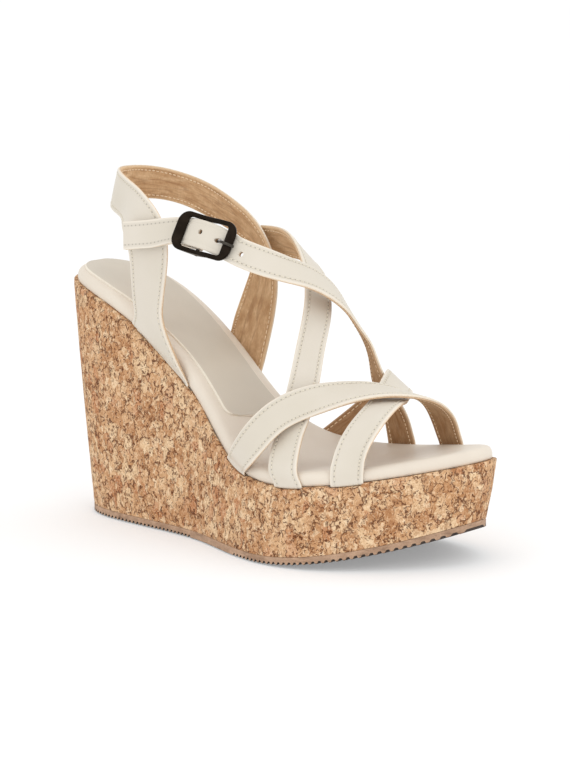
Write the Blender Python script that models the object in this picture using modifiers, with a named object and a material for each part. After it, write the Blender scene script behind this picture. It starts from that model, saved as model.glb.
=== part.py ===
"""Women's wedge sandal, right foot, EU 38: cork wedge, padded insole, five straps, pin buckle.

Everything is drawn in millimetres on the sole's own axes: X from the back of the heel to the
toe, Y to the medial side, Z up from the ground.  `world` moves a point to the object's origin,
the middle of its footprint on the ground, and turns it into metres.
"""
import math

import bmesh
import bpy
import numpy as np
from mathutils import Matrix, Vector

MM = 0.001
ORIGIN = Vector((111.3, -3.55, 0.0))     # middle of the bounding box, on the ground
GAP = 0.3                               # kept between pieces that touch

# ---- wedge and outsole ------------------------------------------------------------------
OUTSOLE_THICK = 3.2
TOE_SPRING = 16.2                       # rise of the toe's underside
SPRING_FROM_X = 137.8                   # the sole leaves the ground here
CORK_THICK = 1.5
TOOTH_PITCH = 2.6
TOOTH_DEPTH = 0.7
HEEL_TEETH_END_X = 66.0
FRONT_TEETH_START_X = 126.0
# side view of the wedge's top face: x, z
WEDGE_TOP = ((0, 111.8), (19.3, 106.4), (42.4, 97.1), (64.2, 84.7), (80.2, 72.8), (95.2, 59.6),
             (110.6, 46.8), (123.6, 39.4), (138, 35.6), (153, 34.8), (168, 35.8), (187.8, 38.4),
             (207.5, 41.9), (222.2, 44.9))
# plan of the wedge's top edge and of its foot, point for point, heel first along the outside
TOP_PLAN = ((0, -0.8), (6.8, -17.7), (28.7, -25.3), (64.2, -26.2), (95.2, -30.2),
            (123.6, -41.2), (150, -47.3), (172.9, -43.6), (195.7, -29.7), (213.4, -11.3),
            (222.2, 7.6), (220.2, 22.4), (209.4, 32.9), (189.8, 39.4), (163, 41.6),
            (136.1, 34.7), (106.6, 21.5), (80.2, 21), (51.3, 24.9), (24, 25.7), (5.8, 16.6))
FOOT_PLAN = ((7.4, 0.9), (13.8, -14), (32.5, -22.6), (64.9, -26.7), (94.6, -32),
             (121.5, -42.5), (147.6, -48.9), (171, -44.6), (192.1, -30.5), (209.4, -12.5),
             (218.2, 4.4), (217.3, 17.8), (207.6, 29.6), (188.5, 37.1), (163.2, 40),
             (136.1, 34.9), (106.5, 25.9), (80.1, 23.9), (51.3, 26), (27, 26.1), (11.4, 16.3))
SAMPLES = 14                            # curve samples between two plan points
STATIONS = 25                           # cross sections from heel to toe

# ---- insole, heights above the wedge's top face -----------------------------------------
RIM_INSET = 1.8                         # insole edge, in from the wedge's edge
COVER_THICK = 0.7
COVER_TOP = 6.1
BOARD = (1.3, 2.8)
FOAM = (3.1, 5.1)
MARGIN = 9.5                            # cover turned in under the board
LINER_THICK = 0.6
LINER_END_X = 107.5
LINER_CORNER = 4.5
SHANK = (68.0, 150.0, 6.0, 1.2)         # start x, end x, half width, thickness
SHANK_RIVETS_X = (78.0, 140.0)
SCREWS_X = (24.0, 42.0, 58.0)

# ---- straps -----------------------------------------------------------------------------
LINING_THICK = 0.65
OUTER_LIFT = LINING_THICK + GAP
OUTER_THICK = 0.8
STRAP_STEP = 5.5                        # length of one strap facet
STRAP_INSET = 1.5                       # inner face, in from the wedge's edge
TUCK = 11.0                             # strap end under the insole
TUCK_BEND = 0.6                         # radius where the strap comes up round the wedge's edge
POCKET_DEPTH = 2.3
EASE_RUN = 22.0                         # over this run a strap's end turns onto the sole's edge
CLEAR_RUN = 30.0                        # over this run its edges pass outside the insole's rim
MIDDLE_CLEAR_RUN = 12.0
# line through the middle of the foot: straps face away from it
FOOT_AXIS = ((40, 0, 215), (48, 0, 150), (70, 0, 112), (110, 0, 78), (150, 0, 46), (215, 0, 38))

# at the back of the heel the sling leans in by SLING_LEAN, which grows from LEAN_FROM_X back
SLING_LEAN = math.radians(20.0)
LEAN_FROM_X = 48.0
LEAN_SPAN = 22.0
# middle line of each strap's inner face: x, y, z, width
HEEL_STRAP = ((66.5, -29.8, 97.5, 20.9), (67.6, -31.0, 124.5, 20.7), (66.0, -31.6, 136.8, 21.2),
              (59.3, -29.5, 143.6, 20.0), (47.4, -22.4, 149.3, 19.0), (32.6, -13.6, 152.8, 19.0),
              (23.6, 0.5, 153.8, 17.5), (26.5, 17.5, 153.2, 16.0), (42.4, 27.4, 148.5, 14.8),
              (60.7, 28.6, 140.9, 15.9), (76.5, 29.0, 131.5, 17.0), (83.0, 29.0, 117.6, 18.7),
              (80.0, 27.0, 96.0, 20.3))
VAMP_STRAP = ((134.5, -44.5, 47.1, 14.7), (145.5, -37.5, 62.2, 14.3), (161.3, -20.8, 70.8, 14.8),
              (176.7, -4.3, 72.8, 15.2), (186.0, 10.0, 68.6, 15.5), (183.5, 31.0, 57.5, 15.1))
TOE_STRAP = ((183.7, -33.2, 49.7, 15.4), (185.5, -23.8, 61.5, 15.4), (181.8, -6.8, 66.8, 15.2),
             (173.4, 8.4, 67.4, 15.2), (163.6, 26.0, 70.6, 15.2), (151.3, 37.7, 64.9, 15.2),
             (141.0, 39.0, 56.0, 15.6))
INSTEP_STRAP = ((78.8, 33.5, 128.0, 14.6), (93.3, 32.1, 127.8, 16.4), (109.4, 24.6, 125.6, 17.2),
                (126.4, 12.4, 118.6, 14.8), (139.3, -0.9, 104.9, 13.4), (143.4, -10.6, 89.6, 12.7),
                (148.6, -23.3, 69.7, 13.7), (152.7, -37.5, 50.1, 14.3))
BUCKLE_STRAP = ((136.4, -22.2, 125.0, 13.6),
                (142.9, -9.7, 119.6, 14.4), (146.3, 4.7, 109.7, 14.4), (145.9, 16.7, 97.4, 14.4),
                (148.4, 23.8, 86.0, 14.4), (152.4, 25.7, 71.2, 14.4), (155.2, 34.0, 55.0, 14.5))
# where the straps meet the sole: side (-1 outside, 1 medial) and x of the two strap edges
HEEL_STRAP_ENDS = ((-1, 53.5, 85.5), (1, 68.0, 88.5))
VAMP_STRAP_ENDS = ((-1, 118.5, 132.5), (1, 177.5, 191.5))
TOE_STRAP_ENDS = ((-1, 178.0, 190.0), (1, 118.0, 134.0))
INSTEP_STRAP_ENDS = (None, (-1, 166.0, 152.0))
BUCKLE_STRAP_ENDS = (None, (1, 149.5, 163.0))

# ---- buckle, in its own axes: u along the strap to the toe, v up across it, w outward ----
BAR_CENTRE = Vector((100.8, -32.5, 137.6))
BUCKLE_LEAN = math.radians(-23.5)
BUCKLE_PITCH = math.radians(9.3)
BUCKLE_YAW = math.radians(3.0)
BAR_RADIUS = 0.8
BAR_HALF = 9.1
FRAME_U = (-13.1, 19.2)
FRAME_HALF_HEIGHT = 9.0
WINDOW_U = (-7.7, 14.4)
WINDOW_HALF_HEIGHT = 7.1
FRAME_CORNER = 4.6
WINDOW_CORNER = 1.4
FRAME_RISE = 3.6                        # the end bars stand this far above the centre bar
FRAME_BOW = 7.5                         # they reach that height this far from it
FRAME_HALF_THICK = 0.9
LUG_HALF_THICK = 1.7
# the strap threaded through the buckle: u, v and height of its inner face
THREADED = ((-13.3, 0.2, 0), (-8.8, 0.3, 0.1), (-4.6, 0.3, 1.8), (0, 0.3, 2.9), (5, 0.2, 2.9),
            (9.5, -0.2, 1.8), (14, -0.9, 0.5), (17, -1.4, 0.1), (20.5, -2.1, 0))
STRAP_AT_BUCKLE = 12.4
TAB_WIDTH = 12.2
TAB_PLY = 1.1
TAB_SPREAD = 1.65                       # tab round the bar, to the middle of the leather
TAB_SEWN = ((58.0, 135.5), (63.0, 136.1), (68.0, 136.7), (73.0, 137.4))
TAB_FREE = ((-15.0, -2.1), (-10.5, -2.1), (-5.5, -1.0), (0.0, 0.0))
PRONG_RADIUS = 0.65
PRONG_RING = 1.85
PRONG_TIP = ((3.2, -1.0), (6.0, -0.9), (8.6, -0.4), (10.4, 0.8), (11.8, 2.7), (13.2, 4.6),
             (15.0, 5.4), (18.0, 5.4), (20.4, 4.9))
HOLE_RADIUS = 1.2
PRONG_START_V = 0.6                     # the prong lies a little askew
PRONG_SKEW = -0.09
PRONG_HOLE = (11.6, -0.4)
HOLE_STRETCH = 2.0                      # the prong's hole is this much longer than wide
HOLES = ((1.2, 1.1), (23.2, -2.9))

CREAM = (0.80, 0.76, 0.67)
TAN = (0.52, 0.33, 0.19)
CORK = (0.50, 0.32, 0.17)
DARK_METAL = (0.045, 0.038, 0.032)
STEEL = (0.35, 0.35, 0.36)


# ---- curves -----------------------------------------------------------------------------
def spline(points, per, first=0, last=None):
    """Natural cubic spline through the points: `per` samples between two of them."""
    p = np.asarray(points, float)
    last = len(p) - 1 if last is None else last
    knots = np.linalg.norm(np.diff(p[:, :3], axis=0), axis=1) ** 0.5
    knots = np.concatenate([[0.0], np.cumsum(knots)])
    gaps = np.diff(knots)
    matrix = np.eye(len(p))
    right = np.zeros_like(p)
    for i in range(1, len(p) - 1):
        matrix[i, i - 1:i + 2] = gaps[i - 1], 2 * (gaps[i - 1] + gaps[i]), gaps[i]
        right[i] = 6 * ((p[i + 1] - p[i]) / gaps[i] - (p[i] - p[i - 1]) / gaps[i - 1])
    bend = np.linalg.solve(matrix, right)
    samples = []
    for i in range(first, last):
        for k in range(per):
            b = k / per
            a = 1 - b
            curl = ((a ** 3 - a) * bend[i] + (b ** 3 - b) * bend[i + 1]) * gaps[i] ** 2 / 6
            samples.append(a * p[i] + b * p[i + 1] + curl)
    samples.append(p[last])
    return np.array(samples)


def closed_spline(points):
    """The same through a closed outline; the last sample repeats the first."""
    wrapped = list(points[-3:]) + list(points) + list(points[:4])
    return spline(wrapped, SAMPLES, 3, 3 + len(points))


def even_rows(curve, step):
    """Samples of a curve, evenly spaced along its length."""
    length = np.linalg.norm(np.diff(curve[:, :3], axis=0), axis=1)
    run = np.concatenate([[0.0], np.cumsum(length)])
    at = np.linspace(0, run[-1], max(3, round(run[-1] / step) + 1))
    return np.stack([np.interp(at, run, column) for column in curve.T], axis=1)


def smooth_step(value):
    value = min(max(value, 0.0), 1.0)
    return value * value * (3 - 2 * value)


PROFILE = spline(WEDGE_TOP, 12)
PROFILE_SLOPE = np.arctan2(-np.gradient(PROFILE[:, 1]), np.gradient(PROFILE[:, 0]))
TOP_OUTLINE = closed_spline(TOP_PLAN)
FOOT_OUTLINE = closed_spline(FOOT_PLAN)


def on_wedge(x, y, height=0.0):
    """Point `height` above the wedge's top face, along the face's normal."""
    slope = np.interp(x, PROFILE[:, 0], PROFILE_SLOPE)
    z = np.interp(x, PROFILE[:, 0], PROFILE[:, 1])
    return np.array([x + height * math.sin(slope), y, z + height * math.cos(slope)])


def wedge_foot(x):
    """Height of the cork's lower edge."""
    rise = max(0.0, (x - SPRING_FROM_X) / (WEDGE_TOP[-1][0] - SPRING_FROM_X))
    return OUTSOLE_THICK + GAP + TOE_SPRING * rise ** 2


def inset_outline(outline, inset):
    """A closed plan outline moved inward."""
    p = outline[:-1]
    ahead = np.roll(p, -1, axis=0) - np.roll(p, 1, axis=0)
    ahead /= np.linalg.norm(ahead, axis=1)[:, None]
    inward = np.stack([-ahead[:, 1], ahead[:, 0]], axis=1)
    moved = p + inward * inset
    return np.vstack([moved, moved[:1]])


def paired_samples(outline, count=STATIONS):
    """Sample positions along an outline, so that both sides share their x at each station."""
    tip = int(outline[:, 0].argmax())
    heel = int(outline[:-1, 0].argmin())
    index = np.arange(len(outline) - 1)
    if heel > len(outline) // 2:
        heel -= len(outline) - 1
    low, high = outline[heel, 0], outline[tip, 0]
    across = np.linspace(0, math.pi, count)
    xs = low + (high - low) * (1 - np.cos(across)) / 2
    outer = np.arange(heel, tip + 1)
    inner = np.arange(tip, heel + len(index) + 1)
    ring = outline[:-1]
    outer_x = np.maximum.accumulate(ring[outer % len(ring), 0])
    inner_x = np.minimum.accumulate(ring[inner % len(ring), 0])
    out = np.interp(xs, outer_x, outer)
    back = np.interp(-xs[::-1][1:-1], -inner_x, inner)
    return np.concatenate([out, back])


def sample_at(outline, places):
    ring = outline[:-1]
    places = np.asarray(places) % len(ring)
    low = np.floor(places).astype(int)
    part = (places - low)[:, None]
    return ring[low] * (1 - part) + ring[(low + 1) % len(ring)] * part


def plan_ring(inset):
    """Ring of plan points at an inset from the wedge's top edge, paired across the sole."""
    outline = inset_outline(TOP_OUTLINE, inset)
    return sample_at(outline, paired_samples(outline))


def side_y(x, side):
    """Y of the wedge's top edge on one side."""
    tip = int(TOP_OUTLINE[:, 0].argmax())
    half = TOP_OUTLINE[:tip + 1] if side < 0 else TOP_OUTLINE[:tip - 1:-1]
    return float(np.interp(x, half[:, 0], half[:, 1]))


# ---- mesh building ----------------------------------------------------------------------
def world(point):
    return (Vector(point) - ORIGIN) * MM


def look(name, colour, roughness, metallic=0.0):
    material = bpy.data.materials.new(name)
    material.use_nodes = True
    shader = material.node_tree.nodes["Principled BSDF"]
    shader.inputs["Base Color"].default_value = (*colour, 1.0)
    shader.inputs["Roughness"].default_value = roughness
    shader.inputs["Metallic"].default_value = metallic
    material.diffuse_color = (*colour, 1.0)
    return material


def new_object(name, mesh, collection, material=None):
    thing = bpy.data.objects.new(name, mesh)
    if material:
        mesh.materials.append(material)
    collection.objects.link(thing)
    return thing


def mesh_from(name, points, faces, closed=True):
    """Mesh in metres at the object's origin, faces turned outward when it is closed."""
    mesh = bpy.data.meshes.new(name)
    mesh.from_pydata([world(p) for p in points], [], faces)
    if closed:
        bm = bmesh.new()
        bm.from_mesh(mesh)
        bmesh.ops.recalc_face_normals(bm, faces=bm.faces)
        bm.to_mesh(mesh)
        bm.free()
    return mesh


def ring_cap(count, start):
    """Quads across a ring that pairs its outer and inner side, triangles at both ends."""
    half = count // 2
    faces = [(start, start + 1, start + count - 1)]
    for i in range(1, half - 1):
        faces.append((start + i, start + i + 1, start + count - i - 1, start + count - i))
    faces.append((start + half - 1, start + half, start + half + 1))
    return faces


def ring_walls(count, lower, upper):
    return [(lower + i, lower + (i + 1) % count, upper + (i + 1) % count, upper + i)
            for i in range(count)]


def stacked_rings(rings, cap_first=True, cap_last=True):
    """Points and faces of a surface through rings of equal count."""
    count = len(rings[0])
    points = [p for ring in rings for p in ring]
    faces = []
    for k in range(len(rings) - 1):
        faces += ring_walls(count, k * count, (k + 1) * count)
    if cap_first:
        faces += [tuple(reversed(f)) for f in ring_cap(count, 0)]
    if cap_last:
        faces += ring_cap(count, (len(rings) - 1) * count)
    return points, faces


def grid_surface(rows):
    """Points and faces of a sheet through rows of equal count."""
    across = len(rows[0])
    points = [p for row in rows for p in row]
    faces = []
    for i in range(len(rows) - 1):
        for j in range(across - 1):
            a = i * across + j
            faces.append((a, a + across, a + across + 1, a + 1))
    return points, faces


def block(name, rows, collection):
    """Closed solid through four-cornered rows."""
    points = [p for row in rows for p in row]
    faces = [(0, 1, 2, 3)]
    for k in range(len(rows) - 1):
        faces += ring_walls(4, 4 * k, 4 * k + 4)
    end = 4 * (len(rows) - 1)
    faces.append((end + 3, end + 2, end + 1, end))
    return new_object(name, mesh_from(name, points, faces), collection)


def solidify(thing, thickness, offset=1.0):
    modifier = thing.modifiers.new("thickness", "SOLIDIFY")
    modifier.thickness = thickness * MM
    modifier.offset = offset
    modifier.use_even_offset = True
    modifier.use_rim = True
    return modifier


def cut(thing, cutter):
    modifier = thing.modifiers.new("cut " + cutter.name, "BOOLEAN")
    modifier.operation = "DIFFERENCE"
    modifier.object = cutter


def hide_cutter(thing):
    thing.hide_render = True
    thing.display_type = "WIRE"
    return thing


def turned(name, profile, places, sides, collection, material=None):
    """Turned solids on the wedge's normals: profile of radius and height, one at each x."""
    bm = bmesh.new()
    for x in places:
        base = Vector(on_wedge(x, 0.0))
        normal = (Vector(on_wedge(x, 0.0, 1.0)) - base).normalized()
        side = Vector((0, 1, 0))
        line = [bm.verts.new(world(base + side * r + normal * h)) for r, h in profile]
        edges = [bm.edges.new(pair) for pair in zip(line, line[1:])]
        bmesh.ops.spin(bm, geom=line + edges, cent=world(base), axis=normal,
                       angle=2 * math.pi, steps=sides, use_merge=True)
    bmesh.ops.remove_doubles(bm, verts=bm.verts, dist=1e-7)
    bmesh.ops.recalc_face_normals(bm, faces=bm.faces)
    mesh = bpy.data.meshes.new(name)
    bm.to_mesh(mesh)
    bm.free()
    return new_object(name, mesh, collection, material)


# ---- bottom unit ------------------------------------------------------------------------
def wedge_rings(inset):
    """Top and foot ring of the wedge body, moved in by the inset."""
    top = inset_outline(TOP_OUTLINE, inset)
    foot = inset_outline(FOOT_OUTLINE, inset)
    places = paired_samples(top)
    upper = [on_wedge(x, y) for x, y in sample_at(top, places)]
    lower = [(x, y, wedge_foot(x)) for x, y in sample_at(foot, places)]
    return lower, upper


def make_cork_wrap(parts, material):
    points, faces = stacked_rings(wedge_rings(0.0), False, False)
    wrap = new_object("cork_wrap", mesh_from("cork_wrap", points, faces, False), parts, material)
    solidify(wrap, CORK_THICK, -1.0)
    return wrap


def make_core(parts, material):
    points, faces = stacked_rings(wedge_rings(CORK_THICK + 2 * GAP))
    return new_object("wedge_core", mesh_from("wedge_core", points, faces), parts, material)


def make_outsole(parts, material):
    """Rubber sole: cross teeth at heel and forefoot, flat between them."""
    places = paired_samples(FOOT_OUTLINE, 160)
    ring = sample_at(FOOT_OUTLINE, places)
    half = len(ring) // 2
    outer = ring[:half + 1]
    inner = np.vstack([ring[:1], ring[:half - 1:-1]])
    low, high = ring[0][0], ring[half][0]
    rises = [low]
    for start, end in ((low, HEEL_TEETH_END_X), (FRONT_TEETH_START_X, high)):
        count = int((end - start) / TOOTH_PITCH) * 2
        rises += list(np.linspace(start, end, count + 1)[1:-1])
    rises += [HEEL_TEETH_END_X + 1.0, FRONT_TEETH_START_X - 1.0, high]
    rises += list(np.linspace(HEEL_TEETH_END_X + 12, FRONT_TEETH_START_X - 12, 4))
    xs = np.array(sorted(rises))
    xs[1] = low + 0.5
    xs[-2] = high - 0.5
    rows_top, rows_under = [], []
    for k, x in enumerate(xs):
        smooth = HEEL_TEETH_END_X <= x <= FRONT_TEETH_START_X
        spring = wedge_foot(x) - OUTSOLE_THICK - GAP
        groove = TOOTH_DEPTH if k % 2 and not smooth else 0.0
        y_out = np.interp(x, outer[:, 0], outer[:, 1])
        y_in = np.interp(x, inner[:, 0], inner[:, 1])
        rows_top.append([(x, y_out, OUTSOLE_THICK + spring), (x, y_in, OUTSOLE_THICK + spring)])
        rows_under.append([(x, y_out, groove + spring), (x, y_in, groove + spring)])
    rings = []
    for rows in (rows_under, rows_top):
        tip_first = [(p[0], (p[1] + q[1]) / 2, p[2]) for p, q in (rows[0], rows[-1])]
        side = [row[0] for row in rows[1:-1]]
        back = [row[1] for row in rows[-2:0:-1]]
        rings.append([tip_first[0]] + side + [tip_first[1]] + back)
    points, faces = stacked_rings(rings)
    return new_object("outsole", mesh_from("outsole", points, faces), parts, material)


def layer(name, rows, parts, material):
    """Closed layer of the insole through rings given as (inset, height)."""
    rings = [[on_wedge(x, y, height) for x, y in plan_ring(inset)] for inset, height in rows]
    points, faces = stacked_rings(rings)
    return new_object(name, mesh_from(name, points, faces), parts, material)


def make_cover(parts, material):
    """Cover sheet: turned in under the board, round the rim and over the top."""
    half = COVER_THICK / 2
    edge = RIM_INSET + half
    rows = ((RIM_INSET + MARGIN, GAP + half), (edge + 0.5, GAP + half), (edge, GAP + 2 * half),
            (edge - 0.05, 3.2), (edge + 0.35, COVER_TOP - 1.3), (edge + 1.4, COVER_TOP - 0.55),
            (edge + 3.2, COVER_TOP - half))
    rings = [[on_wedge(x, y, height) for x, y in plan_ring(inset)] for inset, height in rows]
    points, faces = stacked_rings(rings, cap_first=False)
    cover = new_object("insole_cover", mesh_from("insole_cover", points, faces, False), parts,
                       material)
    solidify(cover, COVER_THICK, 0.0)
    return cover


def liner_inset(x):
    """The sock liner stays further in from the edge towards the arch."""
    return np.interp(x, (0, 45, 107), (5.0, 6.5, 9.3))


def make_liner(parts, material):
    """Sock liner: heel to arch, round corners and a slightly curved front edge."""
    start = 5.6
    xs = list(start + 9 * (1 - np.cos(np.linspace(0, math.pi / 2, 7))))
    xs += list(np.linspace(20, LINER_END_X - LINER_CORNER, 14))
    xs += list(LINER_END_X - LINER_CORNER + LINER_CORNER * np.sin(np.linspace(0.3, 1.5, 4)))
    rows = []
    for x in xs:
        corner = max(0.0, x - (LINER_END_X - LINER_CORNER))
        trim = LINER_CORNER - math.sqrt(max(0.0, LINER_CORNER ** 2 - corner ** 2))
        if x < 20:
            ring = inset_outline(TOP_OUTLINE, 5.4)
            tip = int(ring[:, 0].argmax())
            y_out = np.interp(x, ring[:tip, 0], ring[:tip, 1])
            y_in = np.interp(x, ring[:tip:-1, 0], ring[:tip:-1, 1])
        else:
            y_out = side_y(x, -1) + liner_inset(x) + trim
            y_in = side_y(x, 1) - liner_inset(x) - trim
        half_width = (y_in - y_out) / 2
        middle = (y_in + y_out) / 2
        bulge = 2.0 * smooth_step((x - 60) / (LINER_END_X - 60))
        row = []
        for t in (-1, -0.5, 0, 0.5, 1):
            forward = bulge * (1 - t * t)
            row.append(on_wedge(x + forward, middle + t * half_width, COVER_TOP + GAP * 1.5))
        rows.append(row)
    points, faces = grid_surface(rows)
    liner = new_object("sock_liner", mesh_from("sock_liner", points, faces, False), parts,
                       material)
    solidify(liner, LINER_THICK, 1.0)
    return liner


def make_shank(parts, cutters, material, core, board):
    start, end, half, thick = SHANK
    xs = np.linspace(start, end, 14)
    rows = [[on_wedge(x, -half, -GAP - thick), on_wedge(x, half, -GAP - thick)] for x in xs]
    points, faces = grid_surface(rows)
    shank = new_object("shank", mesh_from("shank", points, faces, False), parts, material)
    solidify(shank, thick, 1.0)
    xs = np.linspace(start - 0.6, end + 0.6, 14)
    deep = -2 * GAP - thick
    rows = [[on_wedge(x, -half - 0.5, deep), on_wedge(x, half + 0.5, deep),
             on_wedge(x, half + 0.5, 1.5), on_wedge(x, -half - 0.5, 1.5)] for x in xs]
    cut(core, hide_cutter(block("shank_recess", rows, cutters)))
    under = -GAP - thick - GAP
    rivet = ((0, under - 0.8), (2.8, under - 0.8), (2.8, under), (1.5, under), (1.5, 2.0),
             (2.5, 2.0), (2.5, 2.7), (0, 2.7))
    room = ((0, under - 1.1), (3.1, under - 1.1), (3.1, under + 0.25), (1.8, under + 0.25),
            (1.8, 1.7), (2.8, 1.7), (2.8, 3.0), (0, 3.0))
    for number, x in enumerate(SHANK_RIVETS_X):
        turned(f"shank_rivet_{number + 1}", rivet, (x,), 14, parts, material)
    hole = hide_cutter(turned("rivet_holes", room, SHANK_RIVETS_X, 14, cutters))
    for thing in (core, board, shank):
        cut(thing, hole)
    return shank


def make_screws(parts, cutters, material, core, board):
    screw = ((0, -20), (1.4, -17), (1.6, 0), (1.6, 2.0), (3.2, 2.0), (3.2, 2.7), (0, 2.7))
    room = ((0, -20.6), (1.75, -17.3), (1.95, 0), (1.95, 1.7), (3.55, 1.7), (3.55, 3.0), (0, 3.0))
    for number, x in enumerate(SCREWS_X):
        turned(f"wedge_screw_{number + 1}", screw, (x,), 14, parts, material)
    hole = hide_cutter(turned("screw_holes", room, SCREWS_X, 14, cutters))
    for thing in (core, board):
        cut(thing, hole)


# ---- straps -----------------------------------------------------------------------------
def away_from_foot(points):
    """For each point, the direction away from the foot's axis, smoothed along the strap."""
    axis = np.array(FOOT_AXIS, float)
    away = []
    for p in points:
        nearest = None
        for a, b in zip(axis, axis[1:]):
            t = np.clip((p - a) @ (b - a) / ((b - a) @ (b - a)), 0, 1)
            offset = p - (a + (b - a) * t)
            if nearest is None or np.linalg.norm(offset) < np.linalg.norm(nearest):
                nearest = offset
        away.append(nearest)
    away = np.array(away)
    for _ in range(5):
        away[1:-1] = (away[:-2] + 2 * away[1:-1] + away[2:]) / 4
    return away / np.linalg.norm(away, axis=1)[:, None]


def sole_edge(end):
    """The two points where a strap's edges meet the sole, just above the wedge."""
    side, x_minus, x_plus = end
    return [on_wedge(x, side_y(x, side) - side * STRAP_INSET, 1.0) for x in (x_minus, x_plus)]


def clear_of_rim(point, side):
    """Push a strap point out sideways until it passes outside the insole's rim."""
    x = float(np.clip(point[0], 0, WEDGE_TOP[-1][0]))
    base = on_wedge(x, 0.0)
    up = on_wedge(x, 0.0, 1.0) - base
    height = (point - base) @ up
    slope_x = x - height * up[0]
    inset = STRAP_INSET + max(0.0, height - COVER_TOP) * 0.8
    limit = abs(side_y(slope_x, side)) - inset
    moved = point.copy()
    if abs(point[1]) < limit and height < COVER_TOP + 9:
        moved[1] = side * limit
    return moved


def tuck_rows(end):
    """Rows of the strap's end, from under the insole out to the wedge's edge."""
    side, x_minus, x_plus = end
    path = [(TUCK, 0.0), (TUCK / 2 + 1, 0.0)]
    path += [(STRAP_INSET + TUCK_BEND * (1 - math.sin(a)), TUCK_BEND * (1 - math.cos(a)))
             for a in np.radians((0, 35, 70))]
    across = (x_minus, (x_minus + x_plus) / 2, x_plus)
    return [[on_wedge(x, side_y(x, side) - side * inset, height) for x in across]
            for inset, height in path]


def facing_at_heel(points):
    """Away from the foot, and leaning in at the back of the heel."""
    away = away_from_foot(points)
    for k, p in enumerate(points):
        lean = SLING_LEAN * smooth_step((LEAN_FROM_X - p[0]) / LEAN_SPAN)
        away[k] = away[k] * math.cos(lean) + np.array((0, 0, math.sin(lean)))
    return away


class Strap:
    """Rows of a strap's inner face: one edge, the middle and the other edge."""

    def __init__(self, line, ends, facing=away_from_foot, step=STRAP_STEP):
        line = [tuple(p) for p in line]
        start, finish = ends
        if start:
            line = [(*np.mean(sole_edge(start), axis=0), line[0][3])] + line
        if finish:
            line = line + [(*np.mean(sole_edge(finish), axis=0), line[-1][3])]
        curve = even_rows(spline(line, 16), step)
        middle, width = curve[:, :3], curve[:, 3]
        along = np.gradient(middle, axis=0)
        along /= np.linalg.norm(along, axis=1)[:, None]
        out = facing(middle)
        out -= along * np.sum(out * along, axis=1)[:, None]
        out /= np.linalg.norm(out, axis=1)[:, None]
        across = np.cross(along, out)
        minus = middle - across * (width / 2)[:, None]
        plus = middle + across * (width / 2)[:, None]
        run = np.concatenate([[0], np.cumsum(np.linalg.norm(np.diff(middle, axis=0), axis=1))])
        for end, distance, row in ((start, run, 0), (finish, run[-1] - run, -1)):
            if end:
                ease = np.array([smooth_step(1 - d / EASE_RUN) for d in distance])[:, None]
                edge = sole_edge(end)
                minus = minus + ease * (edge[0] - minus[row])
                plus = plus + ease * (edge[1] - plus[row])
                for k in np.flatnonzero(distance < CLEAR_RUN):
                    minus[k] = clear_of_rim(minus[k], end[0])
                    plus[k] = clear_of_rim(plus[k], end[0])
        rows = [[a, (a + b) / 2, b] for a, b in zip(minus, plus)]
        for end, distance in ((start, run), (finish, run[-1] - run)):
            for k in np.flatnonzero(distance < MIDDLE_CLEAR_RUN) if end else ():
                rows[k][1] = clear_of_rim(rows[k][1], end[0])
        if start:
            rows = tuck_rows(start) + rows
        if finish:
            rows = rows + tuck_rows(finish)[::-1]
        self.rows = np.array(rows)

    def sheet(self, lift):
        """Rows moved outward, so that every facet is lifted by the same amount."""
        points, faces = grid_surface(self.rows[:, ::-1])
        bm = bmesh.new()
        corners = [bm.verts.new(p) for p in points]
        for face in faces:
            bm.faces.new([corners[k] for k in face])
        bm.normal_update()
        moved = [np.array(v.co + v.normal * (lift * v.calc_shell_factor())) for v in corners]
        bm.free()
        return np.array(moved).reshape(self.rows.shape)[:, ::-1]

    def make(self, name, parts, outer_look, lining_look):
        """The strap's two layers."""
        made = []
        for suffix, lift, thick, material in (("_lining", 0.0, LINING_THICK, lining_look),
                                              ("_outer", OUTER_LIFT, OUTER_THICK, outer_look)):
            rows = self.sheet(lift)[:, ::-1]
            points, faces = grid_surface(rows)
            mesh = mesh_from(name + suffix, points, faces, False)
            thing = new_object(name + suffix, mesh, parts, material)
            solidify(thing, thick, 1.0)
            made.append(thing)
        return made


def make_pockets(cutters, bodies):
    """Room in the wedge's top edge for the strap ends."""
    ends = HEEL_STRAP_ENDS + VAMP_STRAP_ENDS + TOE_STRAP_ENDS + INSTEP_STRAP_ENDS
    for number, end in enumerate(e for e in ends + BUCKLE_STRAP_ENDS if e):
        side, first, last = end
        xs = np.linspace(min(first, last) - 0.7, max(first, last) + 0.7, 6)
        rows = []
        for x in xs:
            y = side_y(x, side)
            rows.append([on_wedge(x, y + side * 4, -POCKET_DEPTH),
                         on_wedge(x, y - side * (TUCK + 0.6), -POCKET_DEPTH),
                         on_wedge(x, y - side * (TUCK + 0.6), 2.0),
                         on_wedge(x, y + side * 4, 2.0)])
        pocket = hide_cutter(block(f"strap_pocket_{number}", rows, cutters))
        for body in bodies:
            cut(body, pocket)


# ---- buckle -----------------------------------------------------------------------------
TURN = (Matrix.Rotation(BUCKLE_YAW, 3, "Z") @ Matrix.Rotation(BUCKLE_PITCH, 3, "Y")
        @ Matrix.Rotation(BUCKLE_LEAN, 3, "X"))
AXIS_U = TURN @ Vector((1, 0, 0))
AXIS_V = TURN @ Vector((0, 0, 1))
AXIS_W = TURN @ Vector((0, -1, 0))


def at_buckle(u, v, w):
    return np.array(BAR_CENTRE + AXIS_U * u + AXIS_V * v + AXIS_W * w)


def buckle_strap_line():
    """Middle line of the buckle strap: through the buckle, then over the instep."""
    threaded = [(*at_buckle(*p), STRAP_AT_BUCKLE) for p in THREADED]
    return threaded + list(BUCKLE_STRAP)


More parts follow.
